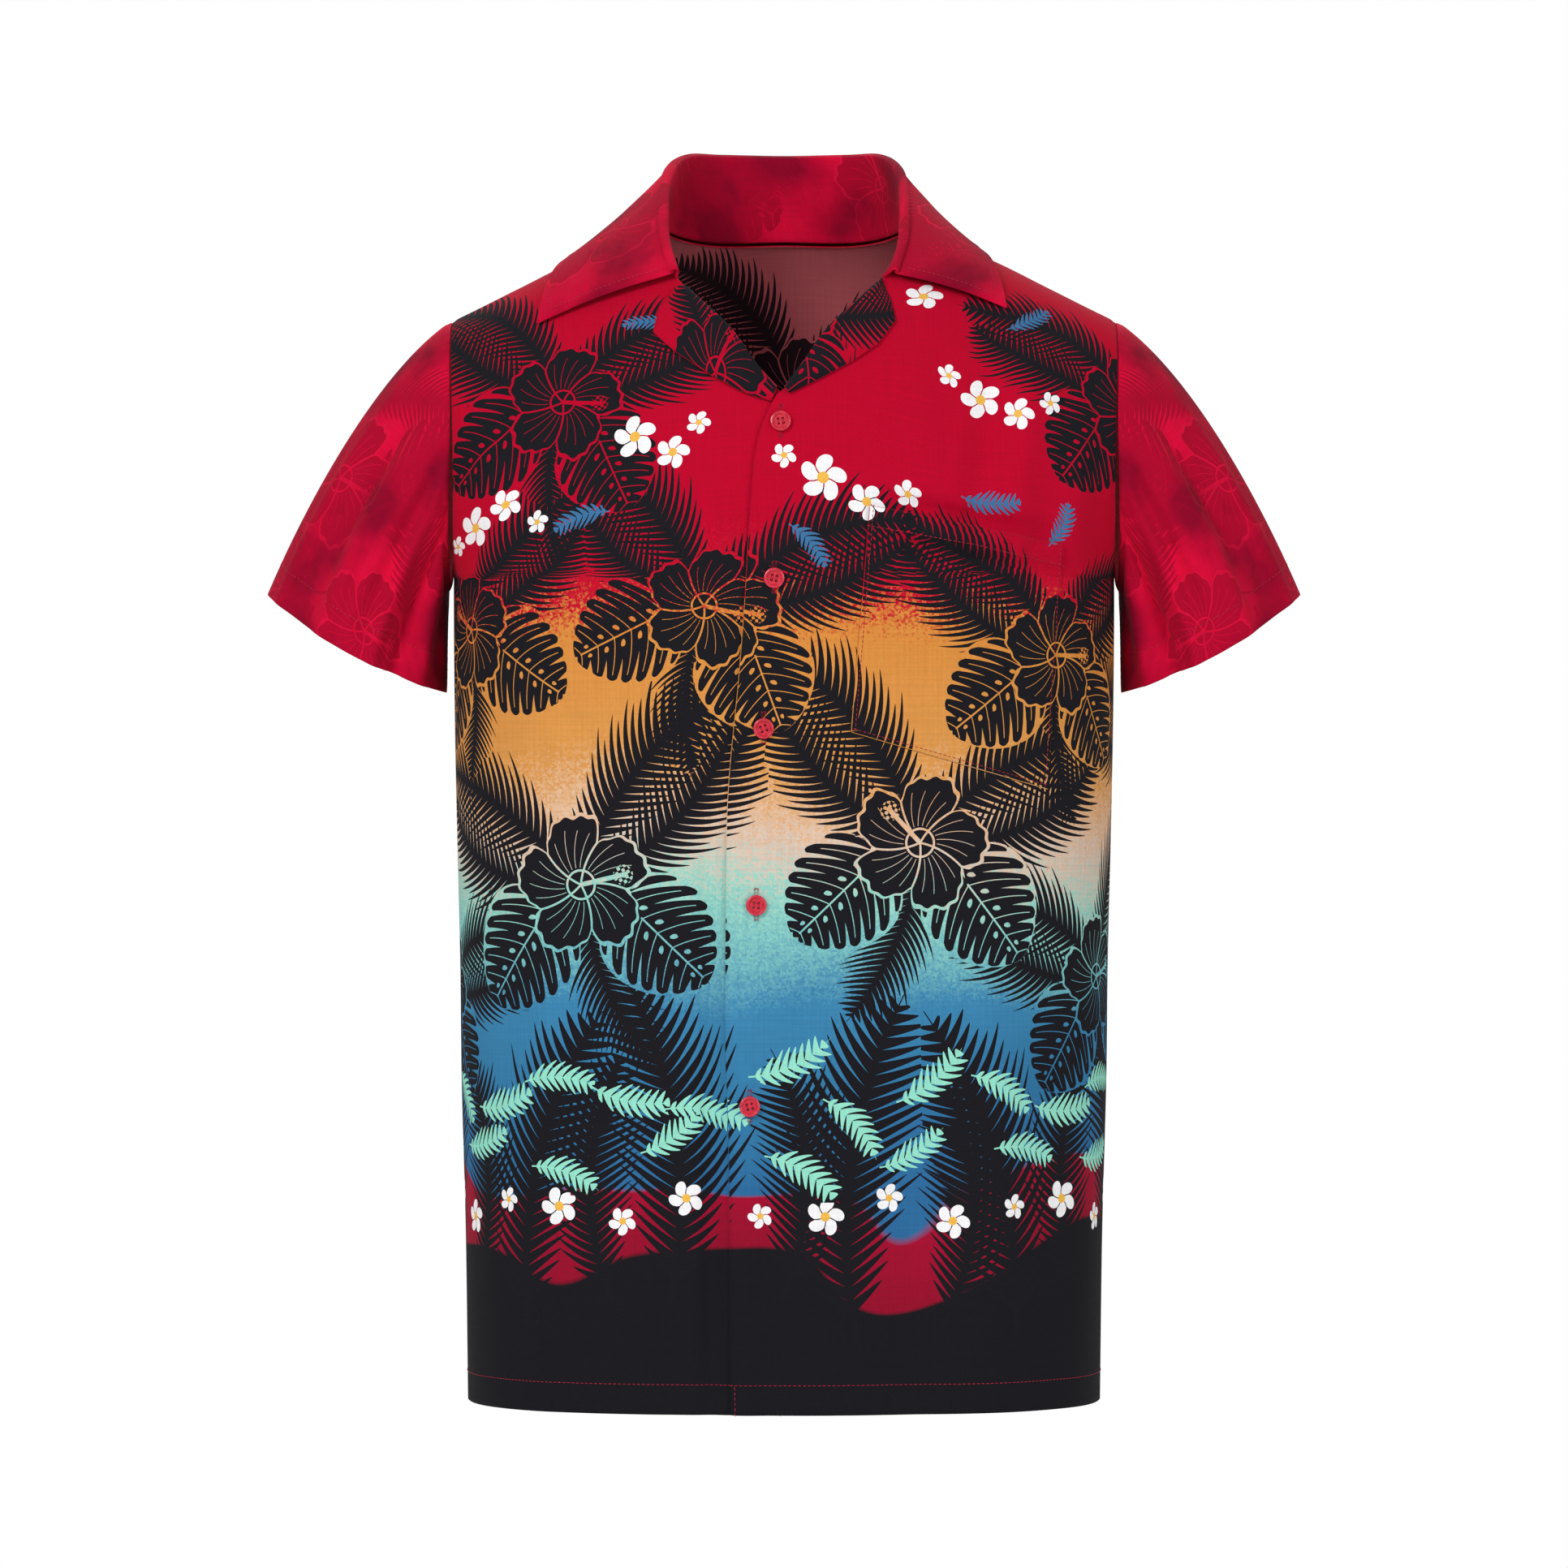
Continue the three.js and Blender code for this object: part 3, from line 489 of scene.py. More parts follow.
def outline_share(motif, along, aside, size):
    """How far out a place is in a motif, in its own coordinates: under one inside its outline."""
    margin = PRINT_MARGIN / size
    if motif not in GROWING and motif != "split_leaf":
        return np.hypot(along, aside) / (FLOWER_REACH + margin)
    if motif in GROWING:
        form, place, side = FROND, along, np.abs(aside)
        up = np.clip(along - form["lean"] * side - form["curve"] * side ** 2, 0, 1)
    else:
        form, place, side = LEAF, aside, np.abs(along)
        up = np.clip((aside + form["back"]) / form["length"], 0, 1)
    reach = form["widest"] * up ** form["rise_power"] * (1 - up) ** form["fall_power"]
    return np.where((place > form["from"]) & (place < form["to"]), side / (reach + margin), OUTSIDE)


def cell_corners(rows, columns):
    """Row and column of the four corners of each cell of a grid."""
    row, column = np.meshgrid(np.arange(rows), np.arange(columns), indexing="ij")
    row, column = row.ravel(), column.ravel()
    return np.stack([row, row, row + 1, row + 1], 1), np.stack([column, column + 1, column + 1, column], 1)


def print_on(pattern, rows):
    """Face-corner coordinates of every print layer, from a table of motifs on the flat cloth."""
    corner_rows, corner_columns = cell_corners(pattern.shape[0] - 1, pattern.shape[1] - 1)
    middle = pattern[corner_rows, corner_columns].mean(1)
    layers = {layer: np.zeros((len(middle), 4, 2)) for layer in PRINT_LAYERS}
    nearest = {layer: np.ones(len(middle)) for layer in PRINT_LAYERS}
    for motif, layer, u, v, size, turn, bend in rows:
        along, aside = motif_coordinates(middle, motif, u, v, size, turn, bend)
        name = PRINT_LAYERS[layer]
        share = outline_share(motif, along, aside, size)
        under = share < nearest[name]
        nearest[name][under] = share[under]
        corners = pattern[corner_rows[under], corner_columns[under]]
        along, aside = motif_coordinates(corners, motif, u, v, size, turn, bend)
        layers[name][under] = np.stack([along + MOTIF_SPAN * MOTIFS[motif], aside], -1)
    return layers


def sew_wall(name, grid, normals, thickness, pattern, layers, materials, closed=False):
    """A closed cloth wall on a grid: outer face, reverse, and a rounded edge all round."""
    rows, columns = grid.shape[:2]
    outer = grid + normals * thickness / 2
    inner = grid - normals * thickness / 2
    corner_rows, corner_columns = cell_corners(rows - 1, columns if closed else columns - 1)
    cells = corner_rows * columns + corner_columns % columns
    count = rows * columns
    if closed:
        first = np.arange(columns)
        loops = [first, (rows - 1) * columns + first[::-1]]
        inland = [columns + first, (rows - 2) * columns + first[::-1]]
    else:
        row_run, column_run = np.arange(rows), np.arange(columns)
        edge_rows = np.concatenate([
            np.zeros(columns - 1, int), row_run[:-1], np.full(columns - 1, rows - 1), row_run[:0:-1]])
        edge_columns = np.concatenate([
            column_run[:-1], np.full(rows - 1, columns - 1), column_run[:0:-1], np.zeros(rows - 1, int)])
        loops = [edge_rows * columns + edge_columns]
        inland = [np.clip(edge_rows, 1, rows - 2) * columns + np.clip(edge_columns, 1, columns - 2)]
    flat = grid.reshape(-1, 3)
    edges, rims, rim_start = [], [], 2 * count
    for loop, inner_loop in zip(loops, inland):
        rims.append(flat[loop] + unit(flat[loop] - flat[inner_loop]) * thickness * RIM_SHARE)
        here = np.arange(len(loop))
        there = (here + 1) % len(loop)
        outer_edge = (loop[there], loop[here])
        rim_edge = (rim_start + here, rim_start + there)
        inner_edge = (count + loop[here], count + loop[there])
        edges += [np.stack([*outer_edge, *rim_edge], 1), np.stack([*rim_edge[::-1], *inner_edge], 1)]
        rim_start += len(loop)
    points = np.concatenate([outer.reshape(-1, 3), inner.reshape(-1, 3), *rims]) * MM
    reverse = count + cells[:, REVERSED]
    faces = np.concatenate([cells, reverse, *edges])
    corner = points[faces]
    halves = np.cross(corner[:, 2] - corner[:, 0], corner[:, 3] - corner[:, 1])
    inside_out = (halves * corner.mean(1)).sum() < 0
    if inside_out:
        faces = faces[:, ::-1]
    mesh = bpy.data.meshes.new(name)
    mesh.from_pydata(points.tolist(), [], faces.tolist())
    for material in materials:
        mesh.materials.append(material)
    slots = np.zeros(len(faces), np.int32)
    slots[len(cells):2 * len(cells)] = 1
    mesh.polygons.foreach_set("material_index", slots)
    mesh.polygons.foreach_set("use_smooth", np.ones(len(faces), bool))
    edge_count = len(faces) - 2 * len(cells)
    cloth = pattern[corner_rows, corner_columns] * MM
    edge_from = np.concatenate([np.tile(loop, 2) for loop in loops])
    edge_cloth = pattern[edge_from // columns, edge_from % columns] * MM
    edge_cloth = np.repeat(edge_cloth[:edge_count, None], 4, 1)
    maps = {"Cloth": np.concatenate([cloth, cloth[:, REVERSED], edge_cloth])}
    for layer, corners in (layers or {}).items():
        blank = np.zeros((edge_count, 4, 2))
        maps[layer] = np.concatenate([corners, corners[:, REVERSED], blank])
    for label, corners in maps.items():
        if inside_out:
            corners = corners[:, ::-1]
        mesh.uv_layers.new(name=label)
        mesh.uv_layers[label].data.foreach_set("uv", corners.ravel().astype(np.float32))
    mesh.validate()
    return show(name, mesh)


# Printed rayon: a light plain weave, dip dyed in bands that meet in a stipple, and screen printed
# in black, white, yellow, blue and mint. A dull cloth with a faint sheen, paler on its reverse, and
# the reverse's pale wash is lighter still as painted light, lifting the shade inside the shirt.

# Each motif is worked out in its own coordinates, a step a line: ink and eye are where it prints,
# cover is where it clears the screens below, and the other steps lead to these. Both leaves swell
# and narrow again on the way from foot to tip, and both flowers first find a place's petal.
SWELL_FORMULAS = """
    above = MAXIMUM foot 0.001
    held = MINIMUM above 0.999
    rise = held ^ rise_power
    rest = 1.0 - held
    fall = rest ^ fall_power
    swell = rise * fall
"""
FERN_FORMULAS = """
    side = ABSOLUTE across
    leaning = side * lean
    squared = side * side
    curving = squared * curve
    less = along - leaning
    foot = less - curving
""" + SWELL_FORMULAS + """
    reach = swell * spread
    number = foot * leaflets
    index = FLOOR number
    phase = FRACT number
    hand = SIGN across
    seed = index * 12.99 + hand
    swing = SINE seed
    scatter = swing * 437.5
    chance = FRACT scatter
    longer = chance * 0.3 + 0.74
    ragged = reach * longer
    out = side / ragged
    left = 1.0 - out
    room = MAXIMUM left 0.0
    taper = room ^ point
    width = taper * fullness
    offset = phase - 0.5
    apart = ABSOLUTE offset
    twice = apart * 2.0
    blade = twice < width
    started = foot > 0.04
    going = foot < 0.985
    blade_started = blade * started
    blades = blade_started * going
    thinning = along * -0.0085 + 0.0105
    near_rib = side < thinning
    rib_started = along > -0.04
    rib = near_rib * rib_started
    ink = MAXIMUM blades rib
"""
SPLIT_LEAF_FORMULAS = """
    side = ABSOLUTE along
    from_back = across + back
    foot = from_back / length
""" + SWELL_FORMULAS + """
    reach = swell * widest
    squared = side * side
    straight = side * -0.36 + across
    sloped = squared * -0.38 + straight
    number = sloped * 3.3 + 8.1
    index = FLOOR number
    phase = FRACT number
    offset = phase - 0.5
    apart = ABSOLUTE offset
    lobe = apart * -2.0 + 1.0
    lobe_squared = lobe * lobe
    lobe_share = lobe_squared * -0.16 + 1.0
    rounded = reach * lobe_share
    out = side / rounded
    inside = out < 1.0
    plain_out = side / reach
    near_leaf = plain_out < 1.05
    past_back = across > -0.79
    cover = near_leaf * past_back
    swing = SINE index
    start = swing * 0.1 + 0.44
    beyond = out - start
    slit_width = beyond * 0.3
    slit = apart < slit_width
    hole_out = out - 0.19
    hole_long = hole_out / 0.075
    hole_across = apart / 0.13
    hole_square = hole_long * hole_long
    hole_sum = hole_across * hole_across + hole_square
    hole = hole_sum < 1.0
    vein_near = apart > 0.474
    vein_inner = out < 0.82
    vein = vein_near * vein_inner
    rib_near = side < 0.014
    rib_inner = across < 0.9
    rib = rib_near * rib_inner
    notch_width = across * -0.5 + -0.2
    notch = side < notch_width
    gap_one = MAXIMUM slit hole
    gap_two = MAXIMUM vein rib
    gap_three = MAXIMUM gap_one gap_two
    gaps = MAXIMUM gap_three notch
    solid = 1.0 - gaps
    blade = inside * solid
    stem_near = side < 0.022
    stem_low = across < -0.36
    stem = stem_near * stem_low
    ink = MAXIMUM blade stem
"""
PETAL_FORMULAS = """
    along_square = along * along
    square = across * across + along_square
    radius = SQRT square
    angle = ARCTAN2 across along
    swirled = radius * swirl + angle
    number = swirled * petals_a_radian + 5
    phase = FRACT number
    aside = phase * 2 + -1
    apart = ABSOLUTE aside
"""
BLOOM_FORMULAS = PETAL_FORMULAS + """
    drop = apart ^ 2.7
    plain_edge = drop * -0.33 + 0.95
    ruffle_turn = angle * 27.0
    ruffle_swing = SINE ruffle_turn
    ruffled = ruffle_swing * 0.02 + plain_edge
    frill_turn = angle * 11.0
    frill_swing = SINE frill_turn
    edge = frill_swing * 0.022 + ruffled
    petals = radius < edge
    to_gap = 1.0 - apart
    gap_width = to_gap * radius
    gap = gap_width < 0.024
    vein_number = aside * 2.5 + 3.0
    vein_phase = FRACT vein_number
    vein_offset = vein_phase - 0.5
    vein_apart = ABSOLUTE vein_offset
    vein_width = vein_apart * radius
    vein_near = vein_width < 0.017
    vein_end = edge * 0.82
    vein_inner = radius < vein_end
    vein_outer = radius > 0.24
    vein_held = vein_near * vein_inner
    vein = vein_held * vein_outer
    throat_offset = radius - 0.2
    throat_apart = ABSOLUTE throat_offset
    throat = throat_apart < 0.016
    column_lean = across * -0.3 + along
    column_apart = ABSOLUTE column_lean
    column_near = column_apart < 0.034
    column_start = across > 0.02
    column_end = across < 0.66
    column_held = column_near * column_start
    column = column_held * column_end
    head_up = across - 0.6
    head_aside = along - 0.18
    head_square = head_up * head_up
    head_sum = head_aside * head_aside + head_square
    head_near = head_sum < 0.02
    dots_up = across * 62.0
    dots_aside = along * 62.0
    dots_rows = SINE dots_up
    dots_columns = SINE dots_aside
    dots_product = dots_rows * dots_columns
    dots = dots_product > 0.1
    head = head_near * dots
    line_one = MAXIMUM gap vein
    line_two = MAXIMUM throat column
    line_three = MAXIMUM line_one line_two
    lines = MAXIMUM line_three head
    solid = 1.0 - lines
    ink = petals * solid
    halo_edge = edge + 0.05
    cover = radius < halo_edge
"""
SMALL_FLOWER_FORMULAS = PETAL_FORMULAS + """
    drop = apart ^ 2.2
    edge = drop * -0.5 + 0.98
    petals = radius < edge
    to_gap = 1.0 - apart
    gap_width = to_gap * radius
    gap = gap_width < 0.045
    solid = 1.0 - gap
    ink = petals * solid
    eye = radius < 0.24
"""


SIGNS = {"+": "ADD", "-": "SUBTRACT", "*": "MULTIPLY", "/": "DIVIDE", "^": "POWER", "<": "LESS_THAN",
         ">": "GREATER_THAN", "*+": "MULTIPLY_ADD"}


def read_formula(line):
    """Result, operation and inputs of one step, as in a = b * c + d or in a = SINE b."""
    made, _, *parts = line.split()
    sign = "".join(parts[1::2])
    if sign in SIGNS:
        return made, SIGNS[sign], parts[::2]
    return made, parts[0], parts[1:]


def printing_block(name, inputs, form, formulas, outputs):
    """A node group that works formulas out, with one Math node for each step."""
    block = bpy.data.node_groups.new(name, "ShaderNodeTree")
    for label in inputs:
        block.interface.new_socket(label, in_out="INPUT", socket_type="NodeSocketFloat")
    for label in outputs:
        block.interface.new_socket(label, in_out="OUTPUT", socket_type="NodeSocketFloat")
    entry = add_node(block, "NodeGroupInput")
    values = {**form, **{label: entry.outputs[label] for label in inputs}}
    steps = [read_formula(line) for line in formulas.splitlines() if line.strip()]
    for made, operation, parts in steps:
        given = {place: values[part] if part in values else float(part) for place, part in enumerate(parts)}
        values[made] = add_node(block, "ShaderNodeMath", given, operation=operation).outputs[0]
    add_node(block, "NodeGroupOutput", {label: values[label] for label in outputs})
    return block


PLACE = ["along", "across"]
GROWTH = [*PLACE, "leaflets", "spread", "fullness", "point"]
FIVE_PETALS = {"petals_a_radian": 5 / (2 * math.pi)}
FERN = {"leaflets": 25, "spread": 0.56, "fullness": 1.04, "point": 0.62}
SPRIG = {"leaflets": 9, "spread": 0.56, "fullness": 0.9, "point": 0.5}
fern_block = printing_block("fern_block", GROWTH, FROND, FERN_FORMULAS, ["ink"])
split_leaf_block = printing_block("split_leaf_block", PLACE, LEAF, SPLIT_LEAF_FORMULAS, ["ink", "cover"])
bloom_block = printing_block(
    "bloom_block", PLACE, {**FIVE_PETALS, "swirl": 0.45}, BLOOM_FORMULAS, ["ink", "cover"])
small_flower_block = printing_block(
    "small_flower_block", PLACE, {**FIVE_PETALS, "swirl": 0.5}, SMALL_FLOWER_FORMULAS, ["ink", "eye"])
BLOCKS = {
    "fern": (fern_block, FERN),
    "split_leaf": (split_leaf_block, {}),
    "bloom": (bloom_block, {}),
    "small_flower": (small_flower_block, {}),
    "sprig": (fern_block, SPRIG),
}
# The motif's number, and its coordinate along without it, from what a screen's coordinates carry
KIND_FORMULAS = """
    shifted = carried + half_span
    spans = shifted / span
    kind = FLOOR spans
    taken = kind * span
    along = carried - taken
"""
SPANS = {"span": MOTIF_SPAN, "half_span": MOTIF_SPAN / 2}
kind_block = printing_block("kind_block", ["carried"], SPANS, KIND_FORMULAS, ["kind", "along"])


def print_layer(tree, layer, below, ground, inks):
    """One screen of the print over what lies below it. Returns the colour."""
    own = add_node(tree, "ShaderNodeUVMap", uv_map=layer)
    parts = add_node(tree, "ShaderNodeSeparateXYZ", {0: own.outputs[0]})
    carried = {"carried": parts.outputs[0]}
    kind, along = add_node(tree, "ShaderNodeGroup", carried, node_tree=kind_block).outputs
    place = {"along": along, "across": parts.outputs[1]}
    colour = below
    for motif in SCREENS[layer]:
        if motif not in inks:
            continue
        block, shape = BLOCKS[motif]
        drawn = add_node(tree, "ShaderNodeGroup", {**place, **shape}, node_tree=block)
        here = add_node(
            tree, "ShaderNodeMath", {0: kind, 1: MOTIFS[motif], 2: 0.5}, operation="COMPARE").outputs[0]
        for part, ink in inks[motif].items():
            share = add_node(tree, "ShaderNodeMath", {0: drawn.outputs[part], 1: here}, operation="MULTIPLY")
            ink = ground if ink == "ground" else ink
            colour = add_node(
                tree, "ShaderNodeMix", {0: share.outputs[0], 6: colour, 7: ink}, data_type="RGBA").outputs[2]
    return colour


# Dip-dye bands up the cloth from the hem: height in metres and the colour there
DYE = [
    (-0.7290, "#19181D"),
    (-0.6360, "#19181D"),
    (-0.6357, "#8E0F2B"),
    (-0.5880, "#9C0E2F"),
    (-0.5877, "#2C6596"),
    (-0.5300, "#32749F"),
    (-0.4820, "#3A7FA8"),
    (-0.4520, "#6FB1B6"),
    (-0.4150, "#90CCBE"),
    (-0.3860, "#D2BDAE"),
    (-0.3600, "#D9AE88"),
    (-0.3300, "#D1914B"),
    (-0.2500, "#D0863B"),
    (-0.2280, "#BE122B"),
    (-0.1900, "#B50329"),
    (0.0600, "#B40328"),
]
DYE_SPAN = 0.8
STIPPLE = {"grain": 0.0014, "depth": 0.03, "none_at": -0.5, "full_at": -0.44}
WAVES = {"scale": 6.0, "low_at": -0.64, "high_at": -0.42, "by_the_hem": 0.17, "above": 0.06}
BLACK_INK = "#1A191E"
WHITE_INK = "#EDECEE"
BLUE_INK = "#3C6E9A"
MINT_INK = "#8FD8C2"
EYE_INK = "#E9B44C"
MINT_BELOW = -0.4
# The reverse's wash: the paler back of the print, made lighter still as painted light for the shaded inside
REVERSE = {"wash": "#D98A90", "share": 0.5, "red_share": 0.3, "black": "#2B1E25"}
WEAVE = {"thread": 0.0009, "depth": 0.00006, "strength": 0.5}
SLUB = {"long": 0.05, "wide": 0.0016, "detail": 2.0, "thin": 0.7, "thick": 1.3, "height": 0.8,
        "darkest": 0.93, "lightest": 1.07, "smoother": -0.05, "rougher": 0.06}
CLOTH_ROUGHNESS = 0.8
CLOTH_SHEEN = {"Specular IOR Level": 0.05, "Sheen Weight": 0.02, "Sheen Roughness": 0.5}


def woven_finish(tree, shader, colour):
    """Finish a cloth: slubs in its colour, a plain weave in its surface, a faint sheen."""
    cloth = add_node(tree, "ShaderNodeUVMap", uv_map="Cloth").outputs[0]
    parts = add_node(tree, "ShaderNodeSeparateXYZ", {0: cloth})
    threads = 2 * math.pi / WEAVE["thread"]
    waves = []
    for axis in (0, 1):
        turn = add_node(tree, "ShaderNodeMath", {0: parts.outputs[axis], 1: threads}, operation="MULTIPLY")
        waves.append(add_node(tree, "ShaderNodeMath", {0: turn.outputs[0]}, operation="SINE").outputs[0])
    weave = add_node(tree, "ShaderNodeMath", {0: waves[0], 1: waves[1]}, operation="MULTIPLY").outputs[0]
    slubs = []
    for wide, long in ((SLUB["wide"], SLUB["long"]), (SLUB["long"], SLUB["wide"])):
        placed = add_node(tree, "ShaderNodeMapping", {0: cloth, "Scale": (1 / wide, 1 / long, 1)})
        slubs.append(add_node(tree, "ShaderNodeTexNoise", {
            "Vector": placed.outputs[0], "Scale": 1.0, "Detail": SLUB["detail"]}).outputs[0])
    slub = add_node(tree, "ShaderNodeMath", {0: slubs[0], 1: slubs[1]}, operation="ADD").outputs[0]
    slub_range = {0: slub, 1: SLUB["thin"], 2: SLUB["thick"]}
    shade = add_node(
        tree, "ShaderNodeMapRange", {**slub_range, 3: SLUB["darkest"], 4: SLUB["lightest"]}).outputs[0]
    dull = add_node(tree, "ShaderNodeMapRange", {
        **slub_range, 3: CLOTH_ROUGHNESS + SLUB["smoother"], 4: CLOTH_ROUGHNESS + SLUB["rougher"]})
    worn = add_node(tree, "ShaderNodeVectorMath", {0: colour, 1: shade}, operation="MULTIPLY")
    raised = add_node(
        tree, "ShaderNodeMath", {0: slub, 1: SLUB["height"], 2: weave}, operation="MULTIPLY_ADD").outputs[0]
    rough = add_node(tree, "ShaderNodeBump", {
        "Strength": WEAVE["strength"], "Distance": WEAVE["depth"], "Height": raised})
    set_inputs(shader, CLOTH_SHEEN)
    for made, socket in ((worn, "Base Color"), (dull, "Roughness"), (rough, "Normal")):
        tree.links.new(made.outputs[0], shader.inputs[socket])


def dyed_ground(tree):
    """Colour of the dyed cloth before it is printed, by height on the cloth."""
    cloth = add_node(tree, "ShaderNodeUVMap", uv_map="Cloth").outputs[0]
    height = add_node(tree, "ShaderNodeSeparateXYZ", {0: cloth}).outputs[1]
    drift = add_node(
        tree, "ShaderNodeTexNoise", {"Vector": cloth, "Scale": WAVES["scale"], "Detail": 1.0}).outputs[0]
    centred = add_node(tree, "ShaderNodeMath", {0: drift, 1: 0.5}, operation="SUBTRACT").outputs[0]
    swing = add_node(tree, "ShaderNodeMapRange", {
        0: height, 1: WAVES["low_at"], 2: WAVES["high_at"], 3: WAVES["by_the_hem"],
        4: WAVES["above"]}).outputs[0]
    waved = add_node(
        tree, "ShaderNodeMath", {0: centred, 1: swing, 2: height}, operation="MULTIPLY_ADD").outputs[0]
    grains = add_node(
        tree, "ShaderNodeTexVoronoi", {"Vector": cloth, "Scale": 1 / STIPPLE["grain"]}).outputs["Color"]
    chance = add_node(tree, "ShaderNodeSeparateColor", {0: grains}).outputs[0]
    half_depth = STIPPLE["depth"] / 2
    thrown = add_node(
        tree, "ShaderNodeMapRange", {0: chance, 1: 0.0, 2: 1.0, 3: -half_depth, 4: half_depth}).outputs[0]
    airbrushed = add_node(tree, "ShaderNodeMapRange", {
        0: height, 1: STIPPLE["none_at"], 2: STIPPLE["full_at"], 3: 0.0, 4: 1.0}).outputs[0]
    stippled = add_node(
        tree, "ShaderNodeMath", {0: thrown, 1: airbrushed, 2: waved}, operation="MULTIPLY_ADD").outputs[0]
    place = add_node(
        tree, "ShaderNodeMapRange", {0: stippled, 1: DYE[0][0], 2: DYE[0][0] + DYE_SPAN, 3: 0.0, 4: 1.0})
    ramp = add_node(tree, "ShaderNodeValToRGB", {0: place.outputs[0]})
    set_stops(ramp, [((level - DYE[0][0]) / DYE_SPAN, colour) for level, colour in DYE])
    return ramp.outputs[0], height


def printed_rayon(name, reverse=False):
    """Printed rayon, right side or reverse."""
    material, tree, shader = new_material(name)
    ground, height = dyed_ground(tree)
    black = linear(REVERSE["black"] if reverse else BLACK_INK)
    # On the reverse the print is paler, and its pale wash is also painted light that lifts the shade inside
    if reverse:
        washed_and_painted_light = {0: REVERSE["share"], 6: ground, 7: linear(REVERSE["wash"])}
        ground = add_node(tree, "ShaderNodeMix", washed_and_painted_light, data_type="RGBA").outputs[2]
    on_blue = add_node(tree, "ShaderNodeMath", {0: height, 1: MINT_BELOW}, operation="LESS_THAN").outputs[0]
    sprig_ink = add_node(
        tree, "ShaderNodeMix", {0: on_blue, 6: linear(BLUE_INK), 7: linear(MINT_INK)}, data_type="RGBA")
    inks = {
        "fern": {"ink": black},
        "split_leaf": {"cover": "ground", "ink": black},
        "bloom": {"cover": "ground", "ink": black},
        "small_flower": {"ink": linear(WHITE_INK), "eye": linear(EYE_INK)},
        "sprig": {"ink": sprig_ink.outputs[2]},
    }
    colour = ground
    for layer in PRINT_LAYERS:
        colour = print_layer(tree, layer, colour, ground, inks)
    woven_finish(tree, shader, colour)
    return material


printed_face = printed_rayon("printed_rayon_face")
printed_reverse = printed_rayon("printed_rayon_reverse", reverse=True)

# A bouquet of the print: motif, screen, distance and direction from its middle, size, turn, bend
BOUQUET = [
    ("bloom", 3, 0, 0, 46, 20, 1),
    ("split_leaf", 2, 58, 214, 46, 222, 1),
    ("split_leaf", 2, 60, 318, 44, 306, 1),
    ("fern", 1, 8, 8, 150, 14, 50),
    ("fern", 0, 8, 62, 158, 62, -42),
    ("fern", 1, 8, 124, 160, 122, 44),
    ("fern", 0, 8, 176, 146, 172, -52),
    ("fern", 1, 8, 268, 118, 266, 34),
]
# Bouquets on the cloth: place across and up, scale, turn, and which way round each one faces
BOUQUETS = [
    (-118, -404, 0.96, 10, 1),
    (-262, -470, 0.8, -20, -1),
    (84, -378, 0.94, -10, -1),
    (222, -462, 0.84, 14, 1),
    (-208, -246, 0.86, 10, -1),
    (-40, -232, 0.84, -16, 1),
    (176, -262, 0.84, -4, 1),
    (306, -318, 0.8, 24, -1),
    (-132, -88, 0.86, -12, 1),
    (-296, -110, 0.8, 30, -1),
    (232, -70, 0.8, 12, 1),
]
# Ferns that grow out of the dark ground by the hem: place across, height, size, turn, bend, screen
HEM_FERNS = [
    (-300, -645, 150, 74, 46, 1),
    (-256, -650, 186, 104, -44, 0),
    (-204, -648, 142, 70, 52, 1),
    (-158, -672, 196, 94, -38, 0),
    (-102, -655, 150, 112, -50, 1),
    (-62, -655, 196, 80, 36, 0),
    (2, -652, 148, 68, 50, 1),
    (44, -676, 206, 100, -36, 0),
    (102, -672, 152, 64, 54, 1),
    (148, -676, 200, 90, 34, 0),
    (200, -655, 150, 114, -48, 1),
    (252, -650, 182, 82, 40, 0),
    (300, -650, 148, 100, -42, 1),
]
# Small white flowers and blue sprigs on the red: place across and up, size, turn, and a sprig's bend
SCATTERED = {
    "small_flower": [
        (-196, -158, 15, 10),
        (-170, -148, 11, 50),
        (-219, -167, 9, 70),
        (-148, -164, 8, 20),
        (-84, -118, 14, 30),
        (-60, -131, 11, 80),
        (-44, -113, 8, 0),
        (24, -152, 15, 15),
        (51, -165, 12, 65),
        (77, -154, 9, 30),
        (0, -139, 8, 60),
        (126, -84, 14, 40),
        (151, -95, 11, 5),
        (173, -86, 8, 50),
        (105, -70, 8, 20),
        (274, -172, 14, 25),
        (299, -162, 10, 60),
        (-300, -182, 12, 12),
        (88, -8, 13, 12),
    ],
    "sprig": [
        (-100, -164, 38, 172, 40),
        (4, -182, 34, 330, -40),
        (112, -150, 38, 340, 36),
        (172, -178, 34, 50, 40),
        (-262, -178, 38, 70, -36),
        (316, -140, 36, 96, 40),
        (0, -38, 34, 210, -36),
        (144, -30, 36, 20, 38),
        (-60, -34, 34, 160, 40),
    ],
}
# Rows right round the cloth: motif, how many, height and its swing, sizes, turn and its swing, bend
GARLANDS = [
    ("sprig", 14, -532, 11, (50, 46, 52, 47), -4, 26, 40),
    ("sprig", 9, -572, 6, (46, 50, 44), 4, 16, -40),
    ("small_flower", 16, -604, 8, (12, 9, 11, 8), 30, 60, 1),
]
GARLAND_START = 26
GARLAND_RHYTHM = 2.3


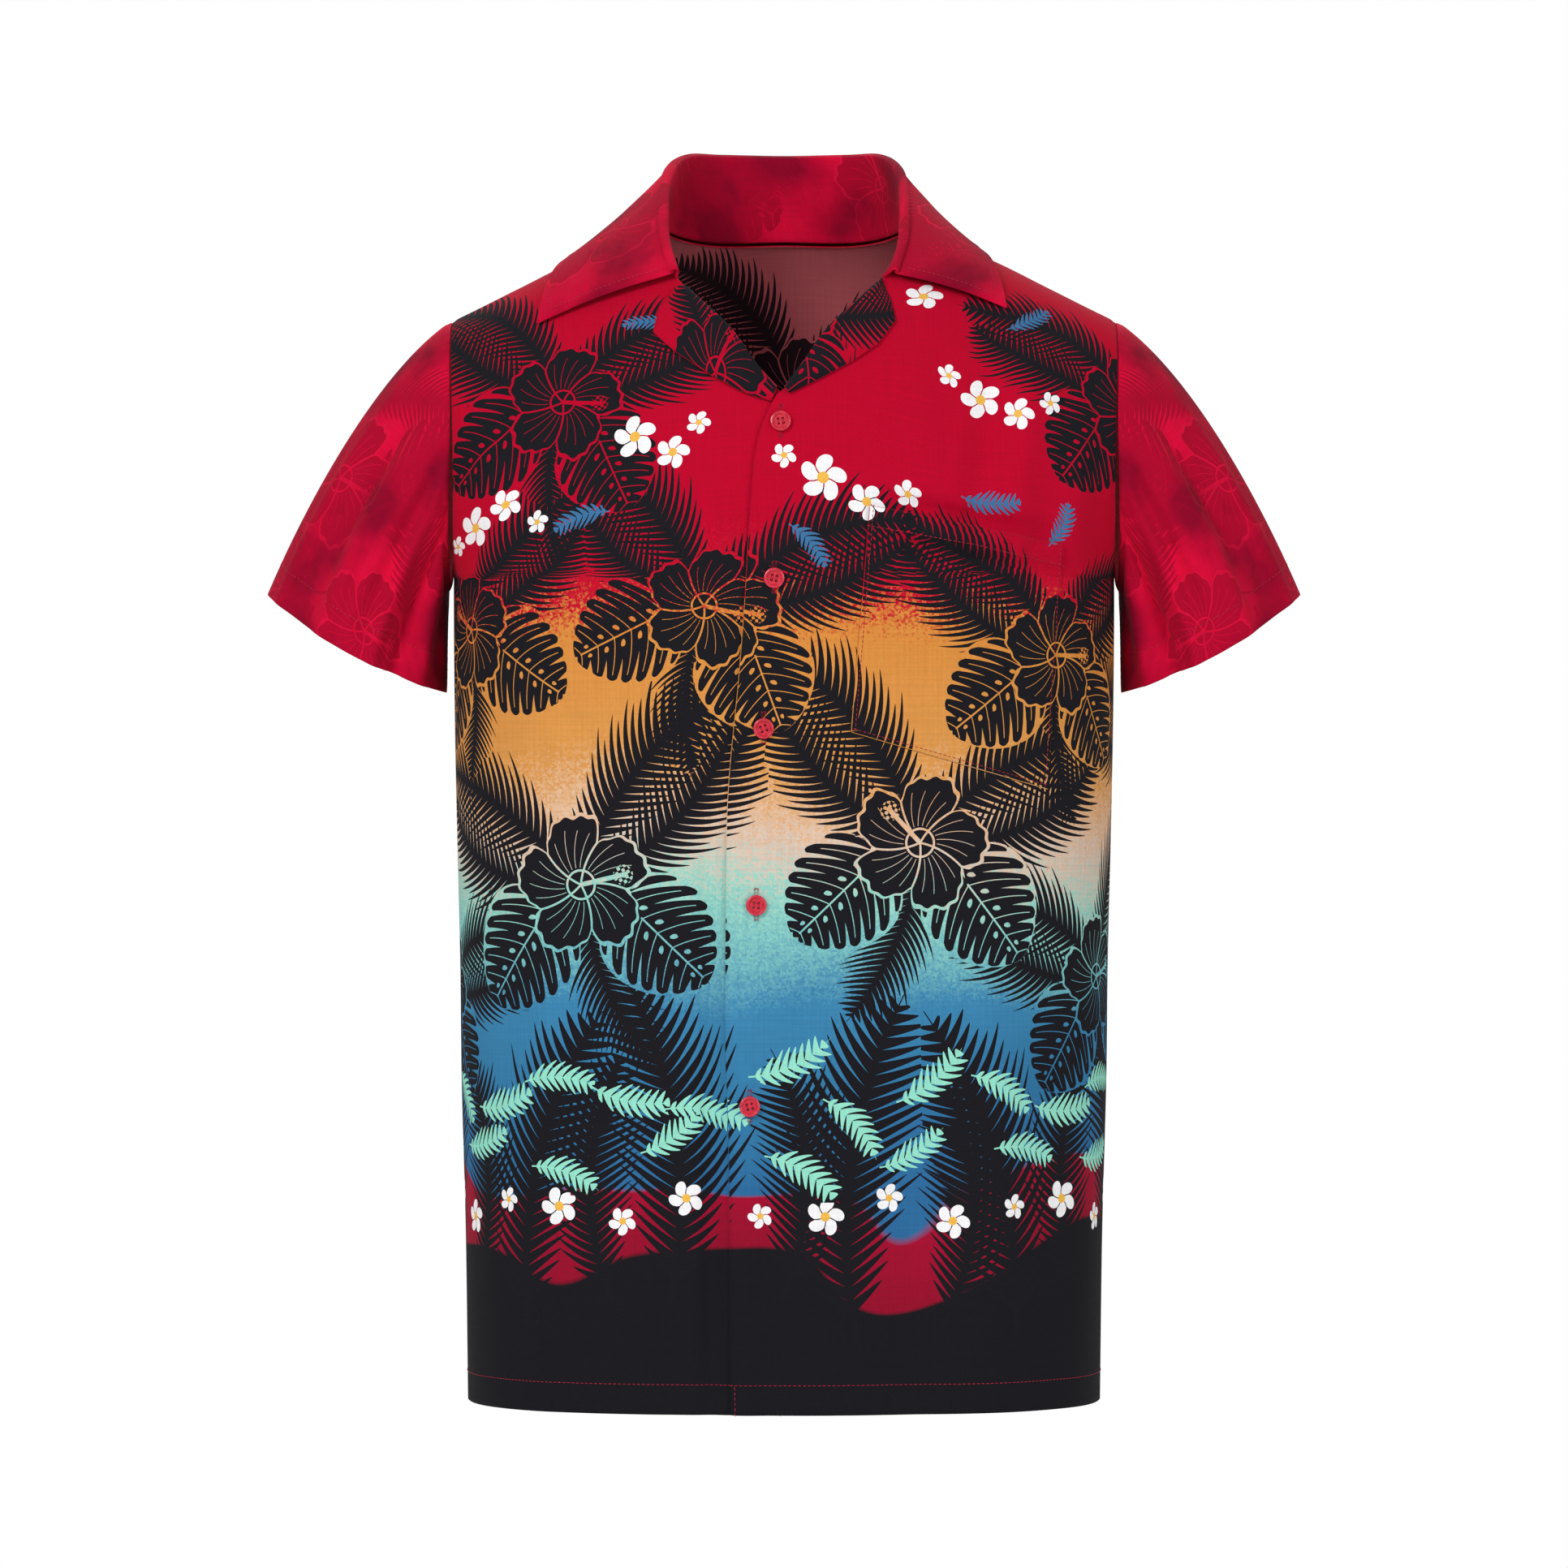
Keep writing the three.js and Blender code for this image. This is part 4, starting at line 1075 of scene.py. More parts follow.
def whole_print():
    """Every motif of one repeat: motif, screen, place across and up, size, turn and bend."""
    rows = []
    for u, v, scale, turn, hand in BOUQUETS:
        for motif, screen, out, direction, size, own_turn, bend in BOUQUET:
            toward = math.radians(turn + direction if hand > 0 else turn + 180 - direction)
            facing = turn + own_turn if hand > 0 else turn + 180 - own_turn
            rows.append((
                motif, screen, u + scale * out * math.cos(toward), v + scale * out * math.sin(toward),
                scale * size, facing, hand * bend))
    rows += [("fern", screen, u, v, size, turn, bend) for u, v, size, turn, bend, screen in HEM_FERNS]
    rows += [(motif, TOP_SCREEN, *row, 1)[:7] for motif, places in SCATTERED.items() for row in places]
    for motif, count, height, swing, sizes, turn, turn_swing, bend in GARLANDS:
        for number in range(count):
            rows.append((
                motif, TOP_SCREEN, REPEAT * (number / count - 0.5) + GARLAND_START,
                height + swing * math.sin(GARLAND_RHYTHM * number), sizes[number % len(sizes)],
                turn + turn_swing * math.cos(GARLAND_RHYTHM * number), bend * (-1) ** number))
    return rows


PRINT = whole_print()


def print_across(pattern, shift):
    """The whole print under a panel, shifted along the cloth and repeated."""
    first = int(math.floor((pattern[..., 0].min() - REPEAT) / REPEAT))
    last = int(math.ceil((pattern[..., 0].max() + REPEAT) / REPEAT))
    return print_on(pattern, [
        (motif, layer, u + shift + repeat * REPEAT, *rest)
        for repeat in range(first, last + 1)
        for motif, layer, u, *rest in PRINT
    ])


lower_heights = np.linspace(HEM_Z, ARMPIT_Z, ROWS["lower"] + 1)
upper_rises = 1 - (1 - np.linspace(0, 1, ROWS["upper"] + 1)[1:]) ** 2
fine_shares = np.sin(np.pi / 2 * np.linspace(0, 1, FINE_SHARES)) ** (2 / SECTION_POWER)


def neck_height(x):
    """Height of the back of the neck edge."""
    share = np.clip(1 - (np.asarray(x) / NECK["half_width"]) ** 2, 0, 1)
    return height_for_depth(BACK, x, NECK["back_depth"] * np.sqrt(share))


def square_edges(normals, side_columns, top_rows):
    """Cut the wall square to the seams at the sides and along the shoulders."""
    for column in side_columns:
        normals[:ROWS["lower"] + 1, column, 1] = 0
    for row in top_rows:
        normals[row, :, 1] = 0
    return unit(normals)


def make_back():
    """Grid of the back, and where each point lies on the cloth."""
    shares = np.concatenate([-fine_shares[:0:-1], fine_shares])
    lines = [body_point(BACK, shares * section_at(z, "half"), z) for z in lower_heights]
    for rise in upper_rises:
        x = shares * section_at(armhole_z(rise), "half")
        top = np.where(np.abs(x) < NECK["half_width"], neck_height(x), ridge_z(x))
        lines.append(body_point(BACK, x, ARMPIT_Z + (top - ARMPIT_Z) * rise))
    grid = np.stack([even_columns(line, BACK_COLUMNS) for line in lines])
    middle = np.abs(grid[:, :, 0]).argmin(1)
    pattern = pattern_of(grid, np.zeros(len(grid)))
    pattern[..., 0] -= pattern[np.arange(len(grid)), middle, 0][:, None]
    return grid, pattern


back_grid, back_pattern = make_back()
back_normals = square_edges(-cloth_normals(back_grid), (0, -1), (-1,))
back_tucked = back_grid - back_normals * seam_tucks(back_grid, ("side", "left", "top"))
back_panel = sew_wall(
    "back_panel", back_tucked, back_normals, CLOTH, back_pattern,
    print_across(back_pattern, BACK_PRINT_SHIFT), (printed_face, printed_reverse))
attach(back_panel, "root")
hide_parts("back")


# Fronts: two panels of the same cloth. The wearer's left laps over the right and carries the
# buttonholes; above the top button both roll open to the shoulder seam.

FRONT_COLUMNS = 92
LAP = 32
LAP_LIFT = 1.35
UNDERLAP_TAPER = 30
LAP_FADE = {"from": 30, "over": 50}
FRONT_EDGE = named_columns("z x", [
    (-729, -32),
    (-554, -34),
    (-500, -36),
    (-370, -35),
    (-332, -33),
    (-281, -28),
    (-230, -24),
    (-180, -21),
    (-128, -15.5),
    (-98, -3),
])
ROLL_LINE = named_columns("z left right", [
    (-98, 1, 5),
    (-84, 12, 18),
    (-60, 29, 35),
    (-28, 61, 66),
    (-10, 72, 73),
    (8, 76, 76),
])


def lap_lift(side, x):
    """Lift of the upper front and drop of the lower one where they lap."""
    fade = 1 - np.clip((side * x - LAP_FADE["from"]) / LAP_FADE["over"], 0, 1)
    return side * LAP_LIFT * fade


def lap_edge(z, side):
    """Edge of a front below the break of the neck."""
    edge = read_table(FRONT_EDGE, "z", "x", z)
    below_break = min((ROLL_LINE["z"][0] - z) / UNDERLAP_TAPER, 1)
    return edge if side > 0 else edge + LAP * below_break


def make_front(side, side_name):
    """Grid of one front, from its edge to its side seam and from hem to shoulder."""
    roll = {
        "share": (ROLL_LINE["z"] - ARMPIT_Z) / (ridge_z(ROLL_LINE[side_name]) - ARMPIT_Z),
        "x": ROLL_LINE[side_name],
    }
    break_share = roll["share"][0]
    starts, lines = [], []
    for z in lower_heights:
        inner, outer = lap_edge(z, side), side * section_at(z, "half")
        x = inner + (outer - inner) * fine_shares
        lines.append(body_point(FRONT, x, z, lap_lift(side, x)))
        starts.append(inner)
    rises = upper_rises.copy()
    rises[np.abs(rises - break_share).argmin()] = break_share
    for rise in rises:
        if rise >= break_share:
            inner = side * read_table(roll, "share", "x", rise)
        else:
            inner = lap_edge(ARMPIT_Z + (ridge_z(0) - ARMPIT_Z) * rise, side)
        outer = side * section_at(armhole_z(rise), "half")
        x = inner + (outer - inner) * fine_shares
        lines.append(body_point(FRONT, x, ARMPIT_Z + (ridge_z(x) - ARMPIT_Z) * rise, lap_lift(side, x)))
        starts.append(inner)
    grid = np.stack([even_columns(line, FRONT_COLUMNS) for line in lines])
    return grid, pattern_of(grid, np.array(starts, float), side)


fronts = {}
for side, side_name, mismatch in ((1, "left", 0), (-1, "right", -9)):
    grid, pattern = make_front(side, side_name)
    normals = square_edges(side * cloth_normals(grid), (-1,), (-1,))
    tucked = grid - normals * seam_tucks(grid, ("side", "top"))
    panel = sew_wall(
        f"{side_name}_front_panel", tucked, normals, CLOTH, pattern,
        print_across(pattern, mismatch), (printed_face, printed_reverse))
    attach(panel, "root")
    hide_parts(f"{side_name}_front")
    fronts[side_name] = {"grid": tucked, "normals": normals, "pattern": pattern}


# Facings: the part of each that turns out over its front as a lapel, from the roll of the neck
# to its edge. The cloth runs round the roll, so its inner edge is tucked in behind the front.

LAPELS = {
    "left": named_columns("x z", [
        (3, -101), (20, -93), (42, -81), (58, -70), (69, -55), (66, -42), (60, -28)]),
    "right": named_columns("x z", [
        (8, -106), (24, -101), (43, -91), (68, -74), (81, -62), (77, -47), (67, -33)]),
}
LAPEL = {"seat": 1.75, "roundness": 3.4, "crest_start": 0.15, "crest_span": 0.8, "along": 64, "across": 26}
# The cloth's turn behind the front, its direction taken from so many columns of the lapel
LAPEL_ROLL = {"steps": 5, "out": 1.6, "back": 1.9, "columns": 3}
FACING_CLOTH = {"across": 900, "up": 620}


def make_lapel(side, side_name):
    """Grid of a lapel: rows up the roll, columns out from it to the edge."""
    edge = LAPELS[side_name]
    share = np.linspace(0, 1, LAPEL["along"] + 1)
    place = np.linspace(0, 1, len(edge["x"]))
    outer_x, outer_z = side * np.interp(share, place, edge["x"]), np.interp(share, place, edge["z"])
    roll_z = ROLL_LINE["z"][0] + (edge["z"][-1] - ROLL_LINE["z"][0]) * share
    roll_x = side * read_table(ROLL_LINE, "z", side_name, roll_z)
    columns = []
    for out in np.linspace(0, 1, LAPEL["across"] + 1):
        x, z = roll_x + (outer_x - roll_x) * out, roll_z + (outer_z - roll_z) * out
        crest = min(out * LAPEL["crest_span"] + LAPEL["crest_start"], 1)
        rise = LAPEL["roundness"] * math.sin(math.pi * crest)
        columns.append(body_point(FRONT, x, z, LAPEL["seat"] + rise + lap_lift(side, x)))
    first = columns[0]
    inward = unit(first - columns[LAPEL_ROLL["columns"]])
    around = []
    for step in range(1, LAPEL_ROLL["steps"] + 1):
        turn = math.pi * step / LAPEL_ROLL["steps"]
        out, back = LAPEL_ROLL["out"] * math.sin(turn), LAPEL_ROLL["back"] * (1 - math.cos(turn))
        around.append(first + inward * out + np.array([0, back, 0]))
    return np.stack([*around[::-1], *columns], 1)


for side, side_name in ((1, "left"), (-1, "right")):
    grid = make_lapel(side, side_name)
    normals = side * cloth_normals(grid)
    pattern = pattern_of(grid, np.full(len(grid), FACING_CLOTH["across"]), side)
    pattern[..., 1] += FACING_CLOTH["up"]
    facing = sew_wall(
        f"{side_name}_facing_lapel", grid, normals, CLOTH, pattern,
        print_across(pattern, 0), (printed_face, printed_reverse))
    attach(facing, "root")
    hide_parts(f"{side_name}_facing")


# Dyed red rayon, for the collar and the sleeves: the same light weave, piece dyed crimson and
# mottled darker in soft clouds of colour, with leaves and blooms overprinted tone on tone.

RED_DYE = [(0.38, "#860326"), (0.6, "#D00836"), (0.48, "#B4042E")]
MOTTLE = {"scale": 13.0, "detail": 4.0, "print_least": 0.25, "print_most": 0.75}
TONAL_INK = "#960426"
PALE_TONE = "#D20E38"


def red_rayon(name, reverse=False):
    """Mottled red rayon, right side or reverse."""
    material, tree, shader = new_material(name)
    cloth = add_node(tree, "ShaderNodeUVMap", uv_map="Cloth").outputs[0]
    cloud = add_node(tree, "ShaderNodeTexNoise", {
        "Vector": cloth, "Scale": MOTTLE["scale"], "Detail": MOTTLE["detail"]}).outputs[0]
    ramp = add_node(tree, "ShaderNodeValToRGB", {0: cloud})
    set_stops(ramp, RED_DYE)
    ground = ramp.outputs[0]
    inks = {
        "fern": {"ink": linear(TONAL_INK)},
        "split_leaf": {"ink": linear(TONAL_INK)},
        "bloom": {"cover": linear(PALE_TONE), "ink": linear(TONAL_INK)},
    }
    printed = ground
    for layer in PRINT_LAYERS:
        printed = print_layer(tree, layer, printed, ground, inks)
    faint = add_node(tree, "ShaderNodeMapRange", {
        0: cloud, 1: RED_DYE[0][0], 2: RED_DYE[1][0], 3: MOTTLE["print_least"],
        4: MOTTLE["print_most"]}).outputs[0]
    colour = add_node(tree, "ShaderNodeMix", {0: faint, 6: ground, 7: printed}, data_type="RGBA").outputs[2]
    # On the reverse the red is paler, and its pale wash is also painted light that lifts the shade inside
    if reverse:
        washed_and_painted_light = {0: REVERSE["red_share"], 6: colour, 7: linear(REVERSE["wash"])}
        colour = add_node(tree, "ShaderNodeMix", washed_and_painted_light, data_type="RGBA").outputs[2]
    woven_finish(tree, shader, colour)
    return material


red_face = red_rayon("red_rayon_face")
red_reverse = red_rayon("red_rayon_reverse", reverse=True)


# Collar: a camp collar in two layers of red rayon, from gorge to gorge. It stands up from the
# neck seam, folds over and falls on the shoulders in two long points.

COLLAR_CLOTH = 1.7
COLLAR_STATIONS = named_columns("at foldX foldY foldZ edgeX edgeY roll", [
    (-0.2, -40, 75, 62, -47, 88, 0),
    (0.0, 0, 84, 62, 0, 98, 0),
    (0.2, 40, 75, 62, 47, 88, 0),
    (0.38, 62, 49, 60, 92, 66, 0),
    (0.55, 73, 14, 49, 125, 34, 0),
    (0.72, 76, -24, 27, 138, -6, 0.15),
    (0.87, 75, -58, 0, 147, -38, 0.6),
    (1.0, 69, -82, -22, 153, -66, 1),
])
COLLAR_SPREAD = {"left": 0.9, "right": 1.0}
COLLAR_FOLD = {"radius": 3.4, "tighter": 0.3, "foot_down": 1.2, "cheek_out": 0.75, "cheek_down": 0.35}
COLLAR_FALL = {"edge_lift": 3.6, "bow": 3, "steps": (0.3, 0.6, 0.85, 1)}
COLLAR_SEAM_RISE = 2.1
COLLAR_SHOULDER_AT = 0.6
GORGE = {"z": -28, "lean_out": 0.25, "lean_forward": -0.72, "lean_up": 0.65}
COLLAR_CELLS = {"along": 78, "across": (7, 6, 3, 3, 3, 3, 8, 8, 7, 5)}
# A column on the fall, and the way that the right side of the cloth faces there at the back
COLLAR_OUT = {"column": -8, "toward": (0, 1, 0.4)}
# Tonal print: motif, screen, place across and up on the cloth, size, turn and bend
COLLAR_PRINT = [
    ("bloom", 3, 70, -660, 46, 20, 1),
    ("split_leaf", 2, 40, -560, 50, 120, 1),
    ("bloom", 3, 92, -480, 40, 70, 1),
    ("fern", 0, 20, -600, 110, 60, 30),
    ("split_leaf", 2, 84, -400, 46, 40, 1),
    ("bloom", 3, 30, -430, 44, 10, 1),
    ("bloom", 3, 90, -320, 44, 40, 1),
    ("fern", 0, 60, -360, 120, 100, 30),
    ("split_leaf", 2, 40, -280, 46, 200, 1),
]


def neck_seam(at, side, side_name):
    """Neck edge of the body below each place on the collar, from the back to the gorge."""
    angle = math.pi / 2 * np.minimum(at / COLLAR_SHOULDER_AT, 1)
    back_x = side * NECK["half_width"] * np.sin(angle)
    on_back = body_point(BACK, back_x, neck_height(back_x))
    ridge = ROLL_LINE["z"][-1]
    past = np.clip((at - COLLAR_SHOULDER_AT) / (1 - COLLAR_SHOULDER_AT), 0, 1)
    z = ridge + (GORGE["z"] - ridge) * past
    on_front = body_point(FRONT, side * read_table(ROLL_LINE, "z", side_name, z), z)
    return np.where((at <= COLLAR_SHOULDER_AT)[:, None], on_back, on_front)


def smooth_through(points, cells):
    """Points on a smooth curve through given points, with so many cells between each pair."""
    made = []
    last = len(points) - 1
    for start, count in enumerate(cells):
        before, here = points[max(start - 1, 0)], points[start]
        there, after = points[start + 1], points[min(start + 2, last)]
        for t in np.arange(count) / count:
            lift = 2 * here + (there - before) * t
            lift = lift + (2 * before - 5 * here + 4 * there - after) * t * t
            made.append((lift + (3 * here - before - 3 * there + after) * t ** 3) / 2)
    made.append(points[last])
    return np.stack(made, 1)


def make_collar(side, side_name):
    """Grid of half of the collar: rows from the back to the gorge, columns from seam to edge."""
    at = np.linspace(0, 1, COLLAR_CELLS["along"] + 1)
    read = {column: read_table(COLLAR_STATIONS, "at", column, at) for column in COLLAR_STATIONS}
    roll = read["roll"][:, None]
    rolling = np.array([side * GORGE["lean_out"], GORGE["lean_forward"], GORGE["lean_up"]])
    up = unit(np.array([0, 0, 1]) * (1 - roll) + rolling * roll)
    seam = neck_seam(at, side, side_name) + up * COLLAR_SEAM_RISE
    fold = np.stack([side * read["foldX"], read["foldY"], read["foldZ"]], 1)
    edge_x = side * read["edgeX"] * COLLAR_SPREAD[side_name]
    edge_y = read["edgeY"]
    on_front = height_for_depth(FRONT, edge_x, np.abs(edge_y))
    on_back = height_for_depth(BACK, edge_x, np.abs(edge_y))
    edge = np.stack([edge_x, edge_y, np.where(edge_y < 0, on_front, on_back)], 1)
    edge = edge + up * COLLAR_FALL["edge_lift"]
    out = edge - seam
    out = unit(out - up * (out * up).sum(1, keepdims=True))
    radius = (COLLAR_FOLD["radius"] * (1 - COLLAR_FOLD["tighter"] * read["roll"]))[:, None]

    def cap(outward, downward):
        return fold + out * outward * radius - up * downward * radius

    inner, outer = cap(-1, COLLAR_FOLD["foot_down"]), cap(1, COLLAR_FOLD["foot_down"])
    cheeks = [cap(hand * COLLAR_FOLD["cheek_out"], COLLAR_FOLD["cheek_down"]) for hand in (-1, 1)]
    fall = [
        outer + (edge - outer) * share + up * COLLAR_FALL["bow"] * math.sin(math.pi * share)
        for share in COLLAR_FALL["steps"]
    ]
    points = [seam, (seam + inner) / 2, inner, cheeks[0], fold, cheeks[1], outer, *fall]
    return smooth_through(points, COLLAR_CELLS["across"])


collar_halves = [make_collar(-1, "right")[:0:-1], make_collar(1, "left")]
collar_grid = np.concatenate(collar_halves)
collar_normals = cloth_normals(collar_grid)
if collar_normals[len(collar_grid) // 2, COLLAR_OUT["column"]] @ COLLAR_OUT["toward"] < 0:
    collar_normals = -collar_normals
collar_pattern = pattern_of(collar_grid, np.zeros(len(collar_grid)))
collar_piece = sew_wall(
    "camp_collar", collar_grid, collar_normals, COLLAR_CLOTH, collar_pattern,
    print_on(collar_pattern, COLLAR_PRINT), (red_face, red_face))
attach(collar_piece, "root")
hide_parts("collar")


# Sleeves: a short tube each, with one seam under the arm, set into the armhole and hemmed. The
# cloth leaves the shoulder with the cap's slope and falls straight, in soft upright folds.

SLEEVE_HEM = {"x": 270, "z": -253, "half_major": 64, "half_depth": 61, "tilt_x": 0.877,
              "tilt_z": 0.481, "dip": 8}
SLEEVE_CAP = {"out_x": 0.83, "out_z": -0.56, "reach": 52}
SLEEVE_UNDER = {"out_x": 0.14, "out_z": -0.99, "reach": 20}
SLEEVE_FALL = {"cap_x": 0.39, "under_x": 0.05, "z": -0.92, "cap_reach": 70, "under_reach": 20}
SLEEVE_CLEARANCE = {"gap": 5, "within": 0.125}
FRAME_CLOTH = 1.6
SLEEVE_FOLDS = named_columns("angle start end width depth", [
    (48, 0.15, 1.15, 30, -4),
    (82, 0.05, 1.1, 28, 4),
    (116, 0.2, 1.2, 30, -6),
    (232, 0.1, 1.1, 32, -5),
    (268, 0.25, 1.2, 30, 4),
    (306, 0.1, 0.95, 32, -4),
])
SLEEVE_CREASES = named_columns("angle start end width depth", [
    (34, 0.25, 1.15, 14, 3.4),
    (56, 0.08, 0.8, 12, -4.2),
    (70, 0.2, 1.2, 13, 4.4),
    (92, 0.04, 0.95, 11, -5.0),
    (103, 0.1, 1.25, 10, 4.2),
    (120, 0.04, 1.3, 10, -7.0),
    (138, 0.05, 1.1, 12, 4.0),
    (155, 0.05, 0.9, 14, -4.2),
    (216, 0.1, 0.8, 15, 2.6),
    (250, 0.2, 1.1, 14, -2.5),
    (288, 0.15, 0.9, 14, 2.3),
    (326, 0.3, 1.15, 15, -1.8),
])
SLEEVE_CELLS = {"around": 168, "down": 82}


def sleeve_folds(folds, angle, down):
    """Height of the folds of a sleeve at angles round it and shares of the way down."""
    total = np.zeros(np.broadcast(angle, down).shape)
    for fold in table_rows(folds):
        reach = np.clip((down - fold["start"]) / (fold["end"] - fold["start"]), 0, 1)
        apart = (angle - fold["angle"] + 540) % 360 - 180
        ends = np.sin(np.pi * reach) ** FOLD["ends"]
        total = total + fold["depth"] * bump(apart, fold["width"] * FOLD["spread"]) * ends
    return total


def sleeve_points(side, angle, down):
    """Points of a sleeve at angles round from the top and shares of the way down."""
    turn = np.radians(angle)
    top = (1 + np.cos(turn)) / 2
    armhole = np.where(np.sin(turn) >= 0, FRONT["armhole"], BACK["armhole"])
    seam_z = armhole_z(top)
    turned_down = np.minimum(2 * (1 - top), 1)
    seam_x = section_at(seam_z, "half") + FRAME_CLOTH / 2 + SEAM_GAP + FRAME_CLOTH / 2 * turned_down
    start = np.stack([seam_x, -armhole * np.sin(turn), seam_z], -1)
    end = np.stack([
        SLEEVE_HEM["x"] + SLEEVE_HEM["half_major"] * SLEEVE_HEM["tilt_x"] * np.cos(turn),
        -SLEEVE_HEM["half_depth"] * np.sin(turn),
        SLEEVE_HEM["z"] + SLEEVE_HEM["half_major"] * SLEEVE_HEM["tilt_z"] * np.cos(turn)
        - SLEEVE_HEM["dip"] * np.sin(turn) ** 2,
    ], -1)

    def mix(under, cap):
        return under + (cap - under) * top

    nothing = np.zeros_like(turn)
    leaving = np.stack([
        mix(SLEEVE_UNDER["out_x"], SLEEVE_CAP["out_x"]), nothing,
        mix(SLEEVE_UNDER["out_z"], SLEEVE_CAP["out_z"])], -1)
    arriving = np.stack([
        mix(SLEEVE_FALL["under_x"], SLEEVE_FALL["cap_x"]), nothing, nothing + SLEEVE_FALL["z"]], -1)
    first = start + leaving * mix(SLEEVE_UNDER["reach"], SLEEVE_CAP["reach"])[..., None]
    second = end - arriving * mix(SLEEVE_FALL["under_reach"], SLEEVE_FALL["cap_reach"])[..., None]
    t = down[..., None]
    points = (1 - t) ** 3 * start + 3 * (1 - t) ** 2 * t * first
    points = points + 3 * (1 - t) * t * t * second + t ** 3 * end
    armhole_middle = np.stack([seam_x, nothing, nothing + armhole_z(0.5)], -1)
    centre = armhole_middle + (np.array([SLEEVE_HEM["x"], 0, SLEEVE_HEM["z"]]) - armhole_middle) * t
    outward = unit(points - centre)
    heights = sleeve_folds(SLEEVE_FOLDS, angle, down) + sleeve_folds(SLEEVE_CREASES, angle, down)
    points = points + outward * heights[..., None]
    from_seam = np.minimum(down / SLEEVE_CLEARANCE["within"], 1)
    body_side = section_at(points[..., 2], "half") + FRAME_CLOTH / 2 + SEAM_GAP
    points[..., 0] = side * np.maximum(points[..., 0], body_side + SLEEVE_CLEARANCE["gap"] * from_seam)
    return points


# Tonal print: motif, screen, place across and up on the cloth, size, turn and bend
SLEEVE_PRINT = [
    ("bloom", 3, 40, -640, 44, 20, 1),
    ("split_leaf", 2, 110, -610, 52, 60, 1),
    ("fern", 0, 150, -700, 130, 100, 30),
    ("bloom", 3, 200, -640, 46, 70, 1),
    ("split_leaf", 2, 262, -690, 50, 120, 1),
    ("bloom", 3, 300, -600, 44, -20, 1),
    ("fern", 0, 20, -590, 120, 30, -30),
    ("fern", 0, 330, -700, 140, 84, -34),
    ("split_leaf", 2, 30, -720, 46, 200, 1),
    ("bloom", 3, 110, -712, 38, 10, 1),
    ("split_leaf", 2, 220, -570, 48, 260, 1),
    ("bloom", 3, 384, -676, 44, 45, 1),
    ("split_leaf", 2, 360, -560, 50, 10, 1),
]
sleeves = {}
for side, side_name in ((1, "left"), (-1, "right")):
    angle, down = np.meshgrid(
        360 * np.arange(SLEEVE_CELLS["around"]) / SLEEVE_CELLS["around"],
        np.linspace(0, 1, SLEEVE_CELLS["down"] + 1))
    grid = sleeve_points(side, angle, down)
    normals = cloth_normals(grid, closed=True)
    if ((grid - grid.mean(1, keepdims=True)) * normals).sum() < 0:
        normals = -normals
    wrapped = np.concatenate([grid, grid[:, :1]], 1)
    pattern = pattern_of(wrapped[::-1], np.zeros(len(grid)))[::-1]
    tucked = grid - normals * seam_tucks(wrapped, ("bottom",))[:, :-1]
    sleeve = sew_wall(
        f"{side_name}_sleeve_tube", tucked, normals, CLOTH, pattern,
        print_on(pattern, SLEEVE_PRINT), (red_face, red_reverse), closed=True)
    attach(sleeve, "root")
    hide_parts(f"{side_name}_sleeve")
    sleeves[side_name] = {"grid": tucked, "normals": normals}


# Pocket: a patch of the printed rayon on the wearer's left chest, sewn down on three sides. Its
# turned band stands a little open and puckers along the mouth.

POCKET = named_columns("across down x z", [
    (0, 0, 53, -171),
    (1, 0, 173, -194),
    (0, 1, 41.5, -310),
    (1, 1, 163, -345),
])
POCKET_SEAT = {"gap": 1.25, "gape": 8.0, "fade": 4, "cells": 64}
POCKET_BAND = {"reach": 0.095, "soft": 0.02, "thick": 1.3}
POCKET_PUCKER = {"width": 0.13, "fade": 3.2}
# Puckers along the mouth: share of the way across and height
POCKET_PUCKERS = [(0.14, 1.5), (0.27, -1.3), (0.42, 1.9), (0.55, -1.4), (0.68, 1.5), (0.84, -1.2)]


def make_pocket():
    """Grid of the pocket: rows up from its foot to its mouth, columns outwards."""
    share = np.linspace(0, 1, POCKET_SEAT["cells"] + 1)
    across, down = np.meshgrid(share, share[::-1])
    corners = {
        axis: (1 - down) * (POCKET[axis][0] * (1 - across) + POCKET[axis][1] * across)
        + down * (POCKET[axis][2] * (1 - across) + POCKET[axis][3] * across)
        for axis in ("x", "z")
    }
    gape = POCKET_SEAT["gape"] * np.sin(np.pi * across) * (1 - down) ** POCKET_SEAT["fade"]
    puckers = sum(height * bump(across - at, POCKET_PUCKER["width"]) for at, height in POCKET_PUCKERS)
    lift = POCKET_SEAT["gap"] + gape + puckers * np.clip(1 - down * POCKET_PUCKER["fade"], 0, 1)
    band = np.clip((POCKET_BAND["reach"] - down) / POCKET_BAND["soft"], 0, 1)
    lift = lift + lap_lift(1, corners["x"]) + POCKET_BAND["thick"] * band * band * (3 - 2 * band)
    return body_point(FRONT, corners["x"], corners["z"], np.maximum(lift, POCKET_SEAT["gap"]))


pocket_grid = make_pocket()
pocket_normals = cloth_normals(pocket_grid)
if pocket_normals[..., 1].mean() > 0:
    pocket_normals = -pocket_normals


def matched_pattern(grid, carrier):
    """Where each point lies on the cloth, so that its print runs on from the panel beneath."""
    flat = carrier["grid"][..., [0, 2]].reshape(-1, 2)
    places = carrier["pattern"].reshape(-1, 2)
    matched = []
    for row in grid[..., [0, 2]]:
        apart = row[:, None] - flat[None]
        nearest = (apart ** 2).sum(2).argmin(1)
        matched.append(places[nearest] + row - flat[nearest])
    return np.stack(matched)


